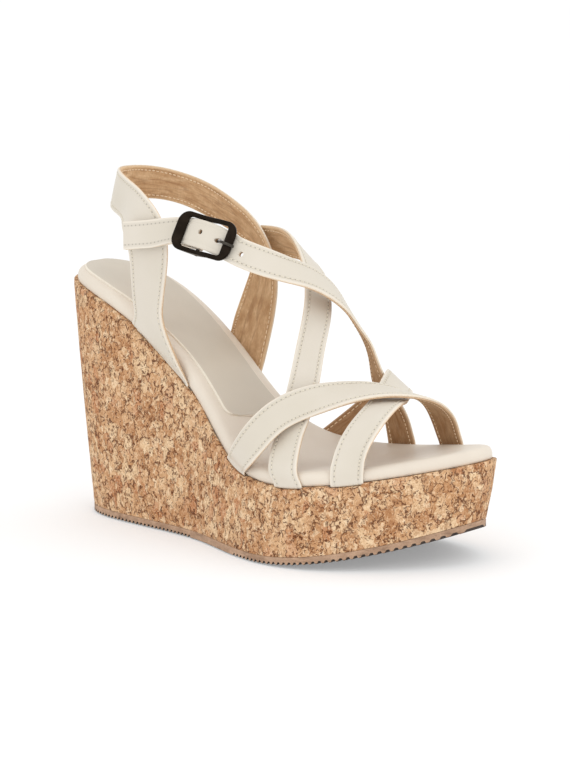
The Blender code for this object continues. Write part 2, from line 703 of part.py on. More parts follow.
def facing_at_buckle(points):
    """Square to the buckle where the strap passes through it, away from the foot after it."""
    away = away_from_foot(points)
    for k, p in enumerate(points):
        ease = smooth_step((Vector(p) - BAR_CENTRE).dot(AXIS_U) / 30.0 - 0.6)
        away[k] = away[k] * ease + np.array(AXIS_W) * (1 - ease)
    return away


def frame_loop(u_range, half_height, corner):
    """Rounded rectangle, as matching points for the frame's outline and its window."""
    u0, u1 = u_range
    points = []
    corners = ((u1 - corner, half_height - corner, 0), (u0 + corner, half_height - corner, 90),
               (u0 + corner, -half_height + corner, 180), (u1 - corner, -half_height + corner, 270))
    for u, v, start in corners:
        for step in range(5):
            angle = math.radians(start + 22.5 * step)
            points.append((u + corner * math.cos(angle), v + corner * math.sin(angle)))
        if start in (0, 180):
            ends = (u1 - corner, u0 + corner) if start == 0 else (u0 + corner, u1 - corner)
            for t in np.linspace(0, 1, 11)[1:-1]:
                points.append((ends[0] + (ends[1] - ends[0]) * t, math.copysign(half_height, v)))
    return points


def frame_level(u):
    """The frame is bowed: its end bars stand above the centre bar."""
    return FRAME_RISE * min(1.0, abs(u) / FRAME_BOW) ** 1.6


def buckle_mesh(name, points, faces):
    """Mesh on the buckle's own axes: local X is u, local Y is v, local Z is w."""
    mesh = bpy.data.meshes.new(name)
    mesh.from_pydata([Vector(p) * MM for p in points], [], faces)
    bm = bmesh.new()
    bm.from_mesh(mesh)
    bmesh.ops.recalc_face_normals(bm, faces=bm.faces)
    bm.to_mesh(mesh)
    bm.free()
    return mesh


def make_frame(parts, cutters, axis, material):
    outside = frame_loop(FRAME_U, FRAME_HALF_HEIGHT, FRAME_CORNER)
    inside = frame_loop(WINDOW_U, WINDOW_HALF_HEIGHT, WINDOW_CORNER)
    points = []
    for loop, side in ((outside, -1), (inside, -1), (inside, 1), (outside, 1)):
        for u, v in loop:
            lug = (LUG_HALF_THICK - FRAME_HALF_THICK) * math.exp(-(u / 2.6) ** 2)
            points.append((u, v, frame_level(u) + side * (FRAME_HALF_THICK + lug)))
    count = len(outside)
    faces = []
    for k in range(4):
        faces += ring_walls(count, k * count, (k + 1) % 4 * count)
    frame = new_object("buckle_frame", buckle_mesh("buckle_frame", points, faces), parts, material)
    frame.parent = axis
    bevel = frame.modifiers.new("soft edges", "BEVEL")
    bevel.width = 0.3 * MM
    bevel.segments = 1
    bevel.limit_method = "ANGLE"
    bevel.angle_limit = math.radians(50)
    hole = make_rod("bar_hole", BAR_RADIUS + GAP, 12.0, cutters)
    hole.parent = axis
    cut(frame, hide_cutter(hole))
    return frame


def make_rod(name, radius, half_length, collection, material=None):
    """Rod along v."""
    bm = bmesh.new()
    bmesh.ops.create_cone(bm, cap_ends=True, segments=16, radius1=radius * MM,
                          radius2=radius * MM, depth=2 * half_length * MM,
                          matrix=Matrix.Rotation(math.pi / 2, 4, "X"))
    mesh = bpy.data.meshes.new(name)
    bm.to_mesh(mesh)
    bm.free()
    return new_object(name, mesh, collection, material)


def prong_path():
    """Ring round the bar, then the tongue that rises through the strap to the end bar."""
    ring = [(PRONG_RING * math.cos(a), PRONG_RING * math.sin(a))
            for a in np.radians(np.linspace(15, 295, 13))]
    tongue = spline([(*p, 0) for p in [ring[-1], *PRONG_TIP]], 3)[1:, :2]
    return ring + [tuple(p) for p in tongue]


def wire(name, path, radius, collection):
    """Round wire along a path in the buckle's u-w plane, as a closed mesh."""
    curve = bpy.data.curves.new(name + " path", "CURVE")
    curve.dimensions = "3D"
    curve.bevel_depth = radius * MM
    curve.bevel_resolution = 2
    curve.use_fill_caps = True
    line = curve.splines.new("POLY")
    line.points.add(len(path) - 1)
    for point, (u, w) in zip(line.points, path):
        point.co = (u * MM, (PRONG_START_V + PRONG_SKEW * u) * MM, w * MM, 1)
    guide = new_object(name + " guide", curve, collection)
    bpy.context.view_layer.update()
    shape = guide.evaluated_get(bpy.context.evaluated_depsgraph_get())
    mesh = bpy.data.meshes.new_from_object(shape)
    bm = bmesh.new()
    bm.from_mesh(mesh)
    bmesh.ops.remove_doubles(bm, verts=bm.verts, dist=1e-6)
    bmesh.ops.recalc_face_normals(bm, faces=bm.faces)
    bm.to_mesh(mesh)
    bm.free()
    bpy.data.objects.remove(guide)
    return mesh


def make_prong(parts, axis, material):
    mesh = wire("buckle_prong", prong_path(), PRONG_RADIUS, parts)
    prong = new_object("buckle_prong", mesh, parts, material)
    prong.parent = axis
    return prong


def make_strap_holes(cutters, axis, layers):
    """Punched holes of the buckle strap; the prong's hole is long enough for it to swing."""
    bm = bmesh.new()
    bmesh.ops.create_cone(bm, cap_ends=True, segments=14, radius1=HOLE_RADIUS * MM,
                          radius2=HOLE_RADIUS * MM, depth=10 * MM)
    for vert in bm.verts:
        vert.co.x *= HOLE_STRETCH
    bmesh.ops.translate(bm, verts=bm.verts, vec=Vector((*PRONG_HOLE, 3.4)) * MM)
    for place in HOLES:
        centre = Vector((*place, 0)) * MM
        bmesh.ops.create_cone(bm, cap_ends=True, segments=14, radius1=HOLE_RADIUS * MM,
                              radius2=HOLE_RADIUS * MM, depth=12 * MM,
                              matrix=Matrix.Translation(centre))
    mesh = bpy.data.meshes.new("strap_holes")
    bm.to_mesh(mesh)
    bm.free()
    holes = hide_cutter(new_object("strap_holes", mesh, cutters))
    holes.parent = axis
    for thing in layers:
        cut(thing, holes)


def outer_face_y(strap, x, z):
    """Y of a strap's outer face on the outside of the foot, below a point of the side view."""
    face = strap.sheet(OUTER_LIFT + OUTER_THICK)
    t = np.linspace(0, 1, 9)[None, :, None]
    samples = (face[:, :1] * (1 - t) + face[:, -1:] * t).reshape(-1, 3)
    samples = samples[samples[:, 1] < -10]
    distance = np.linalg.norm(samples[:, [0, 2]] - (x, z), axis=1)
    return float(samples[distance < max(4.0, distance.min() + 0.5), 1].min())


def make_tab(parts, cutters, axis, heel_strap, material):
    """Buckle tab: a folded strap, sewn to the heel strap and looped round the bar."""
    lift = 4 * GAP + TAB_PLY + GAP / 2
    half = TAB_WIDTH / 2
    rails = []
    for sign in (-1, 1):
        line = []
        for x, z in TAB_SEWN:
            edge_x, edge_z = x - sign * 1.0, z + sign * half
            line.append((edge_x, outer_face_y(heel_strap, edge_x, edge_z) - lift, edge_z))
        line += [at_buckle(u, sign * half, w) for u, w in TAB_FREE]
        rails.append(even_rows(spline(line, 10), 3.2))
    count = min(len(rail) for rail in rails)
    low, high = (rail[np.linspace(0, len(rail) - 1, count).round().astype(int)] for rail in rails)
    along = np.gradient((low + high) / 2, axis=0)
    out = np.cross(along, high - low)
    out /= np.linalg.norm(out, axis=1)[:, None]
    if out[0][1] > 0:
        out = -out
    rows = []
    spreads = []
    for k in range(count):
        reach = (Vector((low[k] + high[k]) / 2) - BAR_CENTRE).dot(AXIS_U)
        spreads.append((TAB_PLY + GAP) / 2 + (TAB_SPREAD - (TAB_PLY + GAP) / 2)
                       * smooth_step(1 + reach / 9.0))
    for k in range(count - 1):
        rows.append([low[k] + out[k] * spreads[k], high[k] + out[k] * spreads[k]])
    for angle in np.radians((90, 54, 18, -18, -54, -90)):
        rows.append([at_buckle(TAB_SPREAD * math.cos(angle), v, TAB_SPREAD * math.sin(angle))
                     for v in (-half, half)])
    for k in range(count - 2, -1, -1):
        rows.append([low[k] - out[k] * spreads[k], high[k] - out[k] * spreads[k]])
    points, faces = grid_surface(rows)
    tab = new_object("buckle_tab", mesh_from("buckle_tab", points, faces, False), parts, material)
    solidify(tab, TAB_PLY, 0.0)
    bm = bmesh.new()
    bmesh.ops.create_cube(bm, size=1.0, matrix=Matrix.Diagonal((8 * MM, 3.1 * MM, 12 * MM, 1)))
    mesh = bpy.data.meshes.new("prong_slot")
    bm.to_mesh(mesh)
    bm.free()
    slot = hide_cutter(new_object("prong_slot", mesh, cutters))
    slot.parent = axis
    cut(tab, slot)
    return tab


# ---- the sandal -------------------------------------------------------------------------
def main():
    for thing in list(bpy.data.objects):
        bpy.data.objects.remove(thing)
    parts = bpy.data.collections.new("wedge_sandal")
    cutters = bpy.data.collections.new("cutters")
    for collection in (parts, cutters):
        bpy.context.scene.collection.children.link(collection)

    leather = look("cream leather", CREAM, 0.5)
    suede = look("tan lining", TAN, 0.95)
    steel = look("steel", STEEL, 0.35, 1.0)
    bronze = look("dark bronze", DARK_METAL, 0.3, 1.0)

    make_outsole(parts, look("brown rubber", (0.42, 0.31, 0.20), 0.8))
    wrap = make_cork_wrap(parts, look("cork", CORK, 0.85))
    core = make_core(parts, look("wedge plastic", (0.25, 0.22, 0.18), 0.6))
    board = layer("insole_board", ((RIM_INSET + 1.0, BOARD[0]), (RIM_INSET + 1.0, BOARD[1])),
                  parts, look("fibre board", (0.33, 0.27, 0.2), 0.9))
    layer("footbed_foam", ((RIM_INSET + 1.3, FOAM[0]), (RIM_INSET + 1.4, FOAM[1] - 0.8),
                           (RIM_INSET + 2.6, FOAM[1] - 0.1), (RIM_INSET + 4.4, FOAM[1])),
          parts, look("foam", (0.75, 0.72, 0.66), 0.95))
    make_cover(parts, look("insole cream", (0.78, 0.72, 0.63), 0.6))
    make_liner(parts, look("liner cream", (0.76, 0.70, 0.61), 0.55))
    make_shank(parts, cutters, steel, core, board)
    make_screws(parts, cutters, steel, core, board)
    make_pockets(cutters, (wrap, core))

    heel = Strap(HEEL_STRAP, HEEL_STRAP_ENDS, facing_at_heel)
    heel.make("heel_strap", parts, leather, suede)
    Strap(VAMP_STRAP, VAMP_STRAP_ENDS).make("vamp_strap", parts, leather, suede)
    Strap(TOE_STRAP, TOE_STRAP_ENDS).make("toe_strap", parts, leather, suede)
    Strap(INSTEP_STRAP, INSTEP_STRAP_ENDS).make("instep_strap", parts, leather, suede)
    buckled = Strap(buckle_strap_line(), BUCKLE_STRAP_ENDS, facing_at_buckle, 4.0)
    layers = buckled.make("buckle_strap", parts, leather, suede)

    axis = bpy.data.objects.new("buckle_axis", None)
    parts.objects.link(axis)
    # local X, Y, Z of the empty are the buckle's u, v, w
    axes = Matrix((AXIS_U, AXIS_V, AXIS_W)).transposed()
    axis.matrix_world = Matrix.Translation(world(BAR_CENTRE)) @ axes.to_4x4()
    make_frame(parts, cutters, axis, bronze)
    bar = make_rod("buckle_bar", BAR_RADIUS, BAR_HALF, parts, steel)
    bar.parent = axis
    make_prong(parts, axis, look("gunmetal", (0.16, 0.155, 0.15), 0.25, 1.0))
    make_strap_holes(cutters, axis, layers)
    make_tab(parts, cutters, axis, heel, leather)

    for thing in parts.objects:
        if thing.type == "MESH":
            thing.data.shade_smooth()
            thing.data.set_sharp_from_angle(angle=math.radians(40))
    bpy.context.view_layer.update()


main()
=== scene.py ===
"""Looks of the wedge sandal: fine straps, stitches, insole, cork, outsole and buckle.

The shapes are worked out in millimetres on the sole's own axes, the same as the solids:
X from the back of the heel to the toe, Y to the medial side, Z up from the ground.
`world` moves a point to the frame's origin and turns it into metres.
"""
import math

import bmesh
import bpy
import numpy as np
from mathutils import Matrix, Vector

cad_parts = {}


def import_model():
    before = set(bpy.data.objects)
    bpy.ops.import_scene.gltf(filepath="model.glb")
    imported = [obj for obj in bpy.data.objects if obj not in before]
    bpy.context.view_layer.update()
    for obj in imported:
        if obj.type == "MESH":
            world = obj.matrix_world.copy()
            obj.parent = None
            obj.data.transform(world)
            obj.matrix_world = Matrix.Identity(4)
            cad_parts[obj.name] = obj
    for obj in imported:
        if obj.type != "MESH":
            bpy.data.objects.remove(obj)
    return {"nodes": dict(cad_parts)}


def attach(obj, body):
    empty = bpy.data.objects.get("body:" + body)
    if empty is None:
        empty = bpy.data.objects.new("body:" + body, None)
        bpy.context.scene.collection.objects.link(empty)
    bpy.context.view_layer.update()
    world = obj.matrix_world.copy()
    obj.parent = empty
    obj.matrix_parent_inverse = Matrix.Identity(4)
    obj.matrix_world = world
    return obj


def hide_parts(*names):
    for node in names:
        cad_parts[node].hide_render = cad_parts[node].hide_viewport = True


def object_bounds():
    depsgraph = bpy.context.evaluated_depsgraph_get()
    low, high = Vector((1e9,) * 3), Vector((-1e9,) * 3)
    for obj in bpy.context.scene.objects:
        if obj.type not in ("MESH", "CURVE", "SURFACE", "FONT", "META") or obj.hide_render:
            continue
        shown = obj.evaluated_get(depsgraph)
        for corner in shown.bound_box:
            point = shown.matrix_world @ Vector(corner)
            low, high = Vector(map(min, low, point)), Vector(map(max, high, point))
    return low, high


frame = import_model()
cad_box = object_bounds()

MM = 0.001
ORIGIN = np.array((111.3, -3.55, 0.0))

# ---- sole -------------------------------------------------------------------------------
OUTSOLE_THICK = 3.2
GAP = 0.3
TOE_SPRING = 16.2
SPRING_FROM_X = 137.8
HEEL_TEETH_END_X = 90.0
FRONT_TEETH_START_X = 126.0
TOOTH_PITCH = 2.6
TOOTH_DEPTH = 1.1
TREAD_EASE = 1.5                        # run over which the teeth fade out
WALL_FROM = 1.4                         # level of the walls' lower edge, above the teeth
WEDGE_TOP = ((0, 111.8), (19.3, 106.4), (42.4, 97.1), (64.2, 84.7), (80.2, 72.8), (95.2, 59.6),
             (110.6, 46.8), (123.6, 39.4), (138, 35.6), (153, 34.8), (168, 35.8), (187.8, 38.4),
             (207.5, 41.9), (222.2, 44.9))
TOP_PLAN = ((0, -0.8), (6.8, -17.7), (28.7, -25.3), (64.2, -26.2), (95.2, -30.2),
            (123.6, -41.2), (150, -47.3), (172.9, -43.6), (195.7, -29.7), (213.4, -11.3),
            (222.2, 7.6), (220.2, 22.4), (209.4, 32.9), (189.8, 39.4), (163, 41.6),
            (136.1, 34.7), (106.6, 21.5), (80.2, 21), (51.3, 24.9), (24, 25.7), (5.8, 16.6))
FOOT_PLAN = ((7.4, 0.9), (13.8, -14), (32.5, -22.6), (64.9, -26.7), (94.6, -32),
             (121.5, -42.5), (147.6, -48.9), (171, -44.6), (192.1, -30.5), (209.4, -12.5),
             (218.2, 4.4), (217.3, 17.8), (207.6, 29.6), (188.5, 37.1), (163.2, 40),
             (136.1, 34.9), (106.5, 25.9), (80.1, 23.9), (51.3, 26), (27, 26.1), (11.4, 16.3))
SAMPLES = 14

# ---- insole -----------------------------------------------------------------------------
RIM_INSET = 1.8
COVER_TOP = 6.1
COVER_THICK = 0.5
MARGIN = 9.5
LINER_THICK = 0.8
LINER_END_X = 107.5
LINER_CORNER = 4.5

# ---- straps -----------------------------------------------------------------------------
LINING_THICK = 0.95
OUTER_THICK = 1.0
STRAP_STEP = 1.5
ROW_POINTS = 9                          # points across a strap
STRAP_INSET = 1.5
TUCK = 11.0                             # how far a strap's end goes under the insole
TUCK_ROWS = 12
EASE_RUN = 22.0                         # run over which a strap turns to meet the sole
CLEAR_RUN = 30.0                        # run over which it is kept outside the rim
POCKET_DEPTH = 1.0
SKIVED = 0.42
SKIVE_ROWS = 5.0
NOMINAL_WIDTH = 18.0                    # straps are this wide in their own coordinates
UV_SPAN = 100.0                         # millimetres in one unit of a strap's UV
STITCH_INSET = 2.0
STITCH_PITCH = 2.0
STITCH_LENGTH = 1.45
STITCH_RADIUS = 0.24
FOOT_AXIS = ((40, 0, 215), (48, 0, 150), (70, 0, 112), (110, 0, 78), (150, 0, 46), (215, 0, 38))
SLING_LEAN = math.radians(20.0)         # how far the sling's face tips up behind the heel
LEAN_FROM_X = 48.0
LEAN_SPAN = 22.0
# middle line of each strap's inner face: x, y, z, width
HEEL_STRAP = ((66.5, -29.8, 97.5, 20.9), (67.6, -31.0, 124.5, 20.7), (66.0, -31.6, 136.8, 21.2),
              (59.3, -29.5, 143.6, 20.0), (47.4, -22.4, 149.3, 19.0), (32.6, -13.6, 152.8, 19.0),
              (23.6, 0.5, 153.8, 17.5), (26.5, 17.5, 153.2, 16.0), (42.4, 27.4, 148.5, 14.8),
              (60.7, 28.6, 140.9, 15.9), (76.5, 29.0, 131.5, 17.0), (83.0, 29.0, 117.6, 18.7),
              (80.0, 27.0, 96.0, 20.3))
VAMP_STRAP = ((134.5, -44.5, 47.1, 14.7), (145.5, -37.5, 62.2, 14.3), (161.3, -20.8, 70.6, 15.1),
              (176.7, -4.3, 72.3, 15.8), (186.0, 10.0, 68.6, 15.5), (183.5, 31.0, 57.5, 15.1))
TOE_STRAP = ((183.7, -33.2, 49.7, 15.4), (185.5, -23.8, 61.5, 15.4), (181.8, -6.8, 67.3, 15.2),
             (173.4, 8.4, 67.4, 15.2), (163.6, 26.0, 70.6, 15.2), (151.3, 37.7, 64.9, 15.2),
             (141.0, 39.0, 56.0, 15.6))
INSTEP_STRAP = ((78.8, 33.5, 128.0, 14.6), (93.3, 32.1, 127.8, 16.4), (109.4, 24.6, 125.6, 17.2),
                (126.4, 12.4, 118.6, 14.8), (139.3, -0.9, 104.9, 13.4), (143.4, -10.6, 89.6, 12.7),
                (148.6, -23.3, 69.7, 13.7), (152.7, -37.5, 50.1, 14.3))
BUCKLE_STRAP = ((136.4, -22.2, 125.0, 13.6), (142.9, -9.7, 119.6, 14.4), (146.3, 4.7, 109.7, 14.4),
                (145.9, 16.7, 97.4, 14.4), (148.4, 23.8, 86.0, 14.4), (152.4, 25.7, 71.2, 14.4),
                (155.2, 34.0, 55.0, 14.5))
# where the straps meet the sole: side (-1 outside, 1 medial) and x of the two strap edges
HEEL_STRAP_ENDS = ((-1, 53.5, 85.5), (1, 68.0, 88.5))
VAMP_STRAP_ENDS = ((-1, 118.5, 132.5), (1, 177.5, 191.5))
TOE_STRAP_ENDS = ((-1, 178.0, 190.0), (1, 118.0, 134.0))
INSTEP_STRAP_ENDS = (None, (-1, 166.0, 152.0))
BUCKLE_STRAP_ENDS = (None, (1, 149.5, 163.0))

# ---- buckle, in its own axes: u along the strap to the toe, v up across it, w outward ----
BAR_CENTRE = np.array((100.8, -32.5, 137.6))
BUCKLE_TURN = (Matrix.Rotation(math.radians(3.0), 3, "Z")
               @ Matrix.Rotation(math.radians(9.3), 3, "Y")
               @ Matrix.Rotation(math.radians(-23.5), 3, "X"))
AXIS_U = np.array(BUCKLE_TURN @ Vector((1, 0, 0)))
AXIS_V = np.array(BUCKLE_TURN @ Vector((0, 0, 1)))
AXIS_W = np.array(BUCKLE_TURN @ Vector((0, -1, 0)))
BAR_RADIUS = 0.8
BAR_HALF = 9.1
FRAME_U = (-13.1, 19.2)
FRAME_HALF_HEIGHT = 9.0
WINDOW_U = (-7.7, 14.4)
WINDOW_HALF_HEIGHT = 6.85
FRAME_CORNER = 5.6
WINDOW_CORNER = 1.4
FRAME_RISE = 3.6
FRAME_BOW = 7.5
FRAME_HALF_THICK = 0.9
LUG_HALF_THICK = 1.4
LUG_REACH = 2.6                         # along the strap, from the bar
FRAME_RELIEF = 0.35                     # taken off the underside, clear of the strap
FACE_DIP = 1.0
THREADED = ((-13.3, 0.2, 0), (-8.8, 0.3, 0.1), (-4.6, 0.3, 1.8), (0, 0.3, 2.9), (5, 0.2, 2.9),
            (9.5, -0.2, 1.8), (14, -0.9, 0.5), (17, -1.4, 0.1), (20.5, -2.1, 0))
STRAP_AT_BUCKLE = 12.4
PLAIN_TIP = 33.5                        # unstitched tip of the strap, up to the frame
TAB_WIDTH = 12.2
TAB_PLY = 1.1
TAB_SPREAD = 1.65
TAB_SEWN = ((58.0, 135.5), (63.0, 136.1), (68.0, 136.7), (73.0, 137.4))
TAB_FREE = ((-15.0, -2.1), (-10.5, -2.1), (-5.5, -1.0), (0.0, 0.0))
PRONG_RADIUS = 0.72
PRONG_RING = 1.85
PRONG_TIP = ((3.2, -1.0), (6.0, -0.9), (8.6, -0.4), (10.4, 0.8), (11.8, 2.7), (13.2, 4.6),
             (15.0, 5.4), (18.0, 5.4), (20.4, 4.9))
HOLE_RADIUS = 1.15
PRONG_SLOT = (8, 3.1, 12)                # cut through the tab's fold
PRONG_START_V = 0.6
PRONG_SKEW = -0.09
PRONG_HOLE = (11.3, -0.4)
HOLE_STRETCH = 2.0
HOLES = ((1.2, 1.1), (23.2, -2.9))

# ---- camera: where it stands round the sandal, and the middle of its picture --------------
CAMERA_TURN = math.radians(39.99)
CAMERA_RISE = math.radians(10.18)
CAMERA_ROLL = math.radians(-0.434)
CAMERA_DISTANCE = 1199.7
CAMERA_TARGET = np.array((112.0, 0.0, 60.0))
CAMERA_LENS = 126.5
CAMERA_SHIFT = (0.01806, 0.0323)


# ---- curves -----------------------------------------------------------------------------
def world(point):
    return tuple((np.asarray(point, float) - ORIGIN) * MM)


def run_along(points, power=1.0):
    """Distance along a line of points, each step raised to a power."""
    steps = np.linalg.norm(np.diff(points[:, :3], axis=0), axis=1) ** power
    return np.concatenate([[0.0], np.cumsum(steps)])


def spline(points, per, first=0, last=None):
    """Natural cubic spline through the points: `per` samples between two of them."""
    p = np.asarray(points, float)
    last = len(p) - 1 if last is None else last
    gaps = np.diff(run_along(p, 0.5))
    matrix = np.eye(len(p))
    right = np.zeros_like(p)
    for i in range(1, len(p) - 1):
        matrix[i, i - 1:i + 2] = gaps[i - 1], 2 * (gaps[i - 1] + gaps[i]), gaps[i]
        right[i] = 6 * ((p[i + 1] - p[i]) / gaps[i] - (p[i] - p[i - 1]) / gaps[i - 1])
    bend = np.linalg.solve(matrix, right)
    samples = []
    for i in range(first, last):
        for b in (k / per for k in range(per)):
            a = 1 - b
            curl = ((a ** 3 - a) * bend[i] + (b ** 3 - b) * bend[i + 1]) * gaps[i] ** 2 / 6
            samples.append(a * p[i] + b * p[i + 1] + curl)
    return np.array([*samples, p[last]])


def closed_spline(points):
    wrapped = list(points[-3:]) + list(points) + list(points[:4])
    return spline(wrapped, SAMPLES, 3, 3 + len(points))


def even_rows(curve, step):
    """Samples of a curve, evenly spaced along its length."""
    run = run_along(curve)
    at = np.linspace(0, run[-1], max(3, round(run[-1] / step) + 1))
    return np.stack([np.interp(at, run, column) for column in curve.T], axis=1)


def smooth_step(value):
    value = np.clip(value, 0.0, 1.0)
    return value * value * (3 - 2 * value)


def unit(vectors):
    return vectors / np.maximum(np.linalg.norm(vectors, axis=-1, keepdims=True), 1e-9)


def soften(rows, times):
    """Average each row with its neighbours, keeping the first and last rows."""
    rows = rows.copy()
    for _ in range(times):
        rows[1:-1] = (rows[:-2] + 2 * rows[1:-1] + rows[2:]) / 4
    return rows


def ring_angles(count):
    return np.linspace(0, 2 * math.pi, count, endpoint=False)


def wave(p, size, seed):
    """Slow, smooth, repeatable unevenness between -1 and 1 over points in millimetres."""
    p = np.asarray(p, float) / size
    rng = np.random.default_rng(seed)
    total = 0.0
    for _ in range(5):
        direction = rng.normal(size=3)
        total = total + np.sin(p @ direction * 2.2 + rng.uniform(0, 2 * math.pi))
    return total / 5


PROFILE = spline(WEDGE_TOP, 12)
PROFILE_SLOPE = np.arctan2(-np.gradient(PROFILE[:, 1]), np.gradient(PROFILE[:, 0]))
TOP_OUTLINE = closed_spline(TOP_PLAN)
FOOT_OUTLINE = closed_spline(FOOT_PLAN)


def on_wedge(x, y, height=0.0):
    """Point `height` above the wedge's top face, along the face's normal."""
    slope = np.interp(x, PROFILE[:, 0], PROFILE_SLOPE)
    z = np.interp(x, PROFILE[:, 0], PROFILE[:, 1])
    return np.array([x + height * math.sin(slope), y, z + height * math.cos(slope)])


def wedge_foot(x):
    rise = max(0.0, (x - SPRING_FROM_X) / (WEDGE_TOP[-1][0] - SPRING_FROM_X))
    return OUTSOLE_THICK + GAP + TOE_SPRING * rise ** 2


def inset_outline(outline, inset):
    p = outline[:-1]
    ahead = unit(np.roll(p, -1, axis=0) - np.roll(p, 1, axis=0))
    inward = np.stack([-ahead[:, 1], ahead[:, 0]], axis=1)
    moved = p + inward * inset
    return np.vstack([moved, moved[:1]])


def paired_samples(outline, count):
    """Sample positions along an outline, so that both sides share their x at each station."""
    x = outline[:-1, 0]
    tip, heel = int(x.argmax()), int(x.argmin())
    if heel > len(x) // 2:
        heel -= len(x)
    low, high = outline[heel, 0], outline[tip, 0]
    xs = low + (high - low) * (1 - np.cos(np.linspace(0, math.pi, count))) / 2
    outer, inner = np.arange(heel, tip + 1), np.arange(tip, heel + len(x) + 1)
    out = np.interp(xs, np.maximum.accumulate(x[outer % len(x)]), outer)
    back = np.interp(-xs[-2:0:-1], -np.minimum.accumulate(x[inner % len(x)]), inner)
    return np.concatenate([out, back])


def sample_at(outline, places):
    ring = outline[:-1]
    places = np.asarray(places) % len(ring)
    low = np.floor(places).astype(int)
    part = (places - low)[:, None]
    return ring[low] * (1 - part) + ring[(low + 1) % len(ring)] * part


def side_y(x, side):
    """Y of the wedge's top edge on one side."""
    tip = int(TOP_OUTLINE[:, 0].argmax())
    half = TOP_OUTLINE[:tip + 1] if side < 0 else TOP_OUTLINE[:tip - 1:-1]
    return float(np.interp(x, half[:, 0], half[:, 1]))


# ---- materials --------------------------------------------------------------------------
class Look:
    """A Principled material and short helpers for its nodes."""

    def __init__(self, name, colour=(0.8, 0.8, 0.8), roughness=0.5, metallic=0.0, **inputs):
        self.material = bpy.data.materials.new(name)
        self.material.use_nodes = True
        self.tree = self.material.node_tree
        self.shader = self.tree.nodes["Principled BSDF"]
        self.give("Base Color", (*colour, 1.0))
        self.give("Roughness", roughness)
        self.give("Metallic", metallic)
        for key, value in inputs.items():
            self.give(key.replace("_", " "), value)
        self.where = self.node("ShaderNodeTexCoord").outputs["Object"]

    def put(self, socket, value):
        if isinstance(value, bpy.types.NodeSocket):
            self.tree.links.new(value, socket)
        else:
            socket.default_value = value

    def give(self, name, value):
        self.put(self.shader.inputs[name], value)

    def node(self, kind, inputs=None, **settings):
        node = self.tree.nodes.new(kind)
        for key, value in settings.items():
            setattr(node, key, value)
        for key, value in (inputs or {}).items():
            self.put(node.inputs[key], value)
        return node

    def math(self, operation, *values):
        return self.node("ShaderNodeMath", dict(enumerate(values)), operation=operation).outputs[0]

    def product(self, one, two):
        return self.math("MULTIPLY", one, two)

    def vector(self, operation, one, two, key=1):
        return self.node("ShaderNodeVectorMath", {0: one, key: two},
                         operation=operation).outputs[0]

    def scaled(self, factors, where=None):
        return self.node("ShaderNodeMapping", {"Vector": where or self.where,
                                               "Scale": factors}).outputs[0]

    def noise(self, scale, detail=2.0, where=None, rough=0.5, output=0):
        return self.node("ShaderNodeTexNoise", {"Vector": where or self.where, "Scale": scale,
                                                "Detail": detail, "Roughness": rough}
                         ).outputs[output]

    def cells(self, scale, where=None, feature="F1"):
        return self.node("ShaderNodeTexVoronoi", {"Vector": where or self.where, "Scale": scale},
                         feature=feature).outputs

    def cell_values(self, scale, where):
        """Random values that are constant over each cell."""
        return self.node("ShaderNodeSeparateColor", {"Color": self.cells(scale, where)[1]}).outputs

    def ramp(self, factor, *stops):
        node = self.node("ShaderNodeValToRGB", {"Fac": factor})
        points = node.color_ramp.elements
        while len(points) < len(stops):
            points.new(0.5)
        for point, (place, colour) in zip(points, stops):
            point.position = place
            value = (colour,) * 3 if isinstance(colour, (int, float)) else colour
            point.color = (*value, 1.0)
        return node.outputs[0]

    def mix(self, factor, one, two):
        one, two = (value if isinstance(value, bpy.types.NodeSocket) else (*value, 1.0)
                    for value in (one, two))
        return self.node("ShaderNodeMix", {0: factor, 6: one, 7: two}, data_type="RGBA").outputs[2]

    def tinted(self, colour, *layers):
        """Lay tints over a colour: each has a factor, two ramp stops and its own colour."""
        for factor, low, high, tint in layers:
            colour = self.mix(self.ramp(factor, low, high), colour, tint)
        return colour

    def bump(self, height, strength, distance):
        self.give("Normal", self.node("ShaderNodeBump", {
            "Height": height, "Strength": strength, "Distance": distance}).outputs[0])


def srgb(red, green, blue):
    """Linear colour of an 8-bit screen colour."""
    return tuple(((c / 255 + 0.055) / 1.055) ** 2.4 if c > 10 else c / 255 / 12.92
                 for c in (red, green, blue))


def shade(colour, factor):
    return tuple(min(1.0, c * factor) for c in colour)


def leather_look(name, light, dark, stitched=True):
    """Smooth leatherette: faint grain, soft mottling; when stitched, painted shade in the needle
    groove and at the needle holes, and a painted highlight along the rolled edges.
    """
    look = Look(name, roughness=0.46, Specular_IOR_Level=0.42)
    colour = look.mix(look.ramp(look.noise(28, 3), (0.35, 0.0), (0.68, 1.0)), dark, light)
    grain = look.cells(1500)[0]
    fine = look.noise(2600, 2)
    if stitched:
        run, _, inward = strap_place(look)
        # painted shade: the colour darkens along the needle groove, 2 mm in from each edge
        line = look.math("ABSOLUTE", look.math("SUBTRACT", inward, STITCH_INSET))
        groove = look.ramp(line, (0.12, 1.0), (0.55, 0.0))
        colour = look.mix(look.product(groove, 0.20), colour, shade(dark, 0.6))
        # painted shade at the needle holes: darker spots between the stitches
        phase = look.math("PINGPONG", look.math("ADD", run, STITCH_PITCH / 2), STITCH_PITCH / 2)
        prick = look.ramp(phase, (0.0, 1.0), (0.40, 0.0))
        spot = look.product(prick, look.ramp(line, (0.2, 1.0), (0.42, 0.0)))
        colour = look.mix(look.product(spot, 0.62), colour, srgb(112, 104, 88))
        # painted highlight: colour lightened within about a millimetre of each edge, where the
        # rolled edge catches the light
        edge = look.ramp(inward, (0.5, 1.0), (1.1, 0.0))
        colour = look.mix(look.product(edge, 0.75), colour, shade(light, 1.16))
    look.give("Base Color", colour)
    look.give("Roughness", look.ramp(fine, (0.3, 0.40), (0.7, 0.54)))
    look.bump(look.math("ADD", look.product(grain, 0.7), look.product(fine, 0.5)), 0.22, 0.00012)
    return look.material


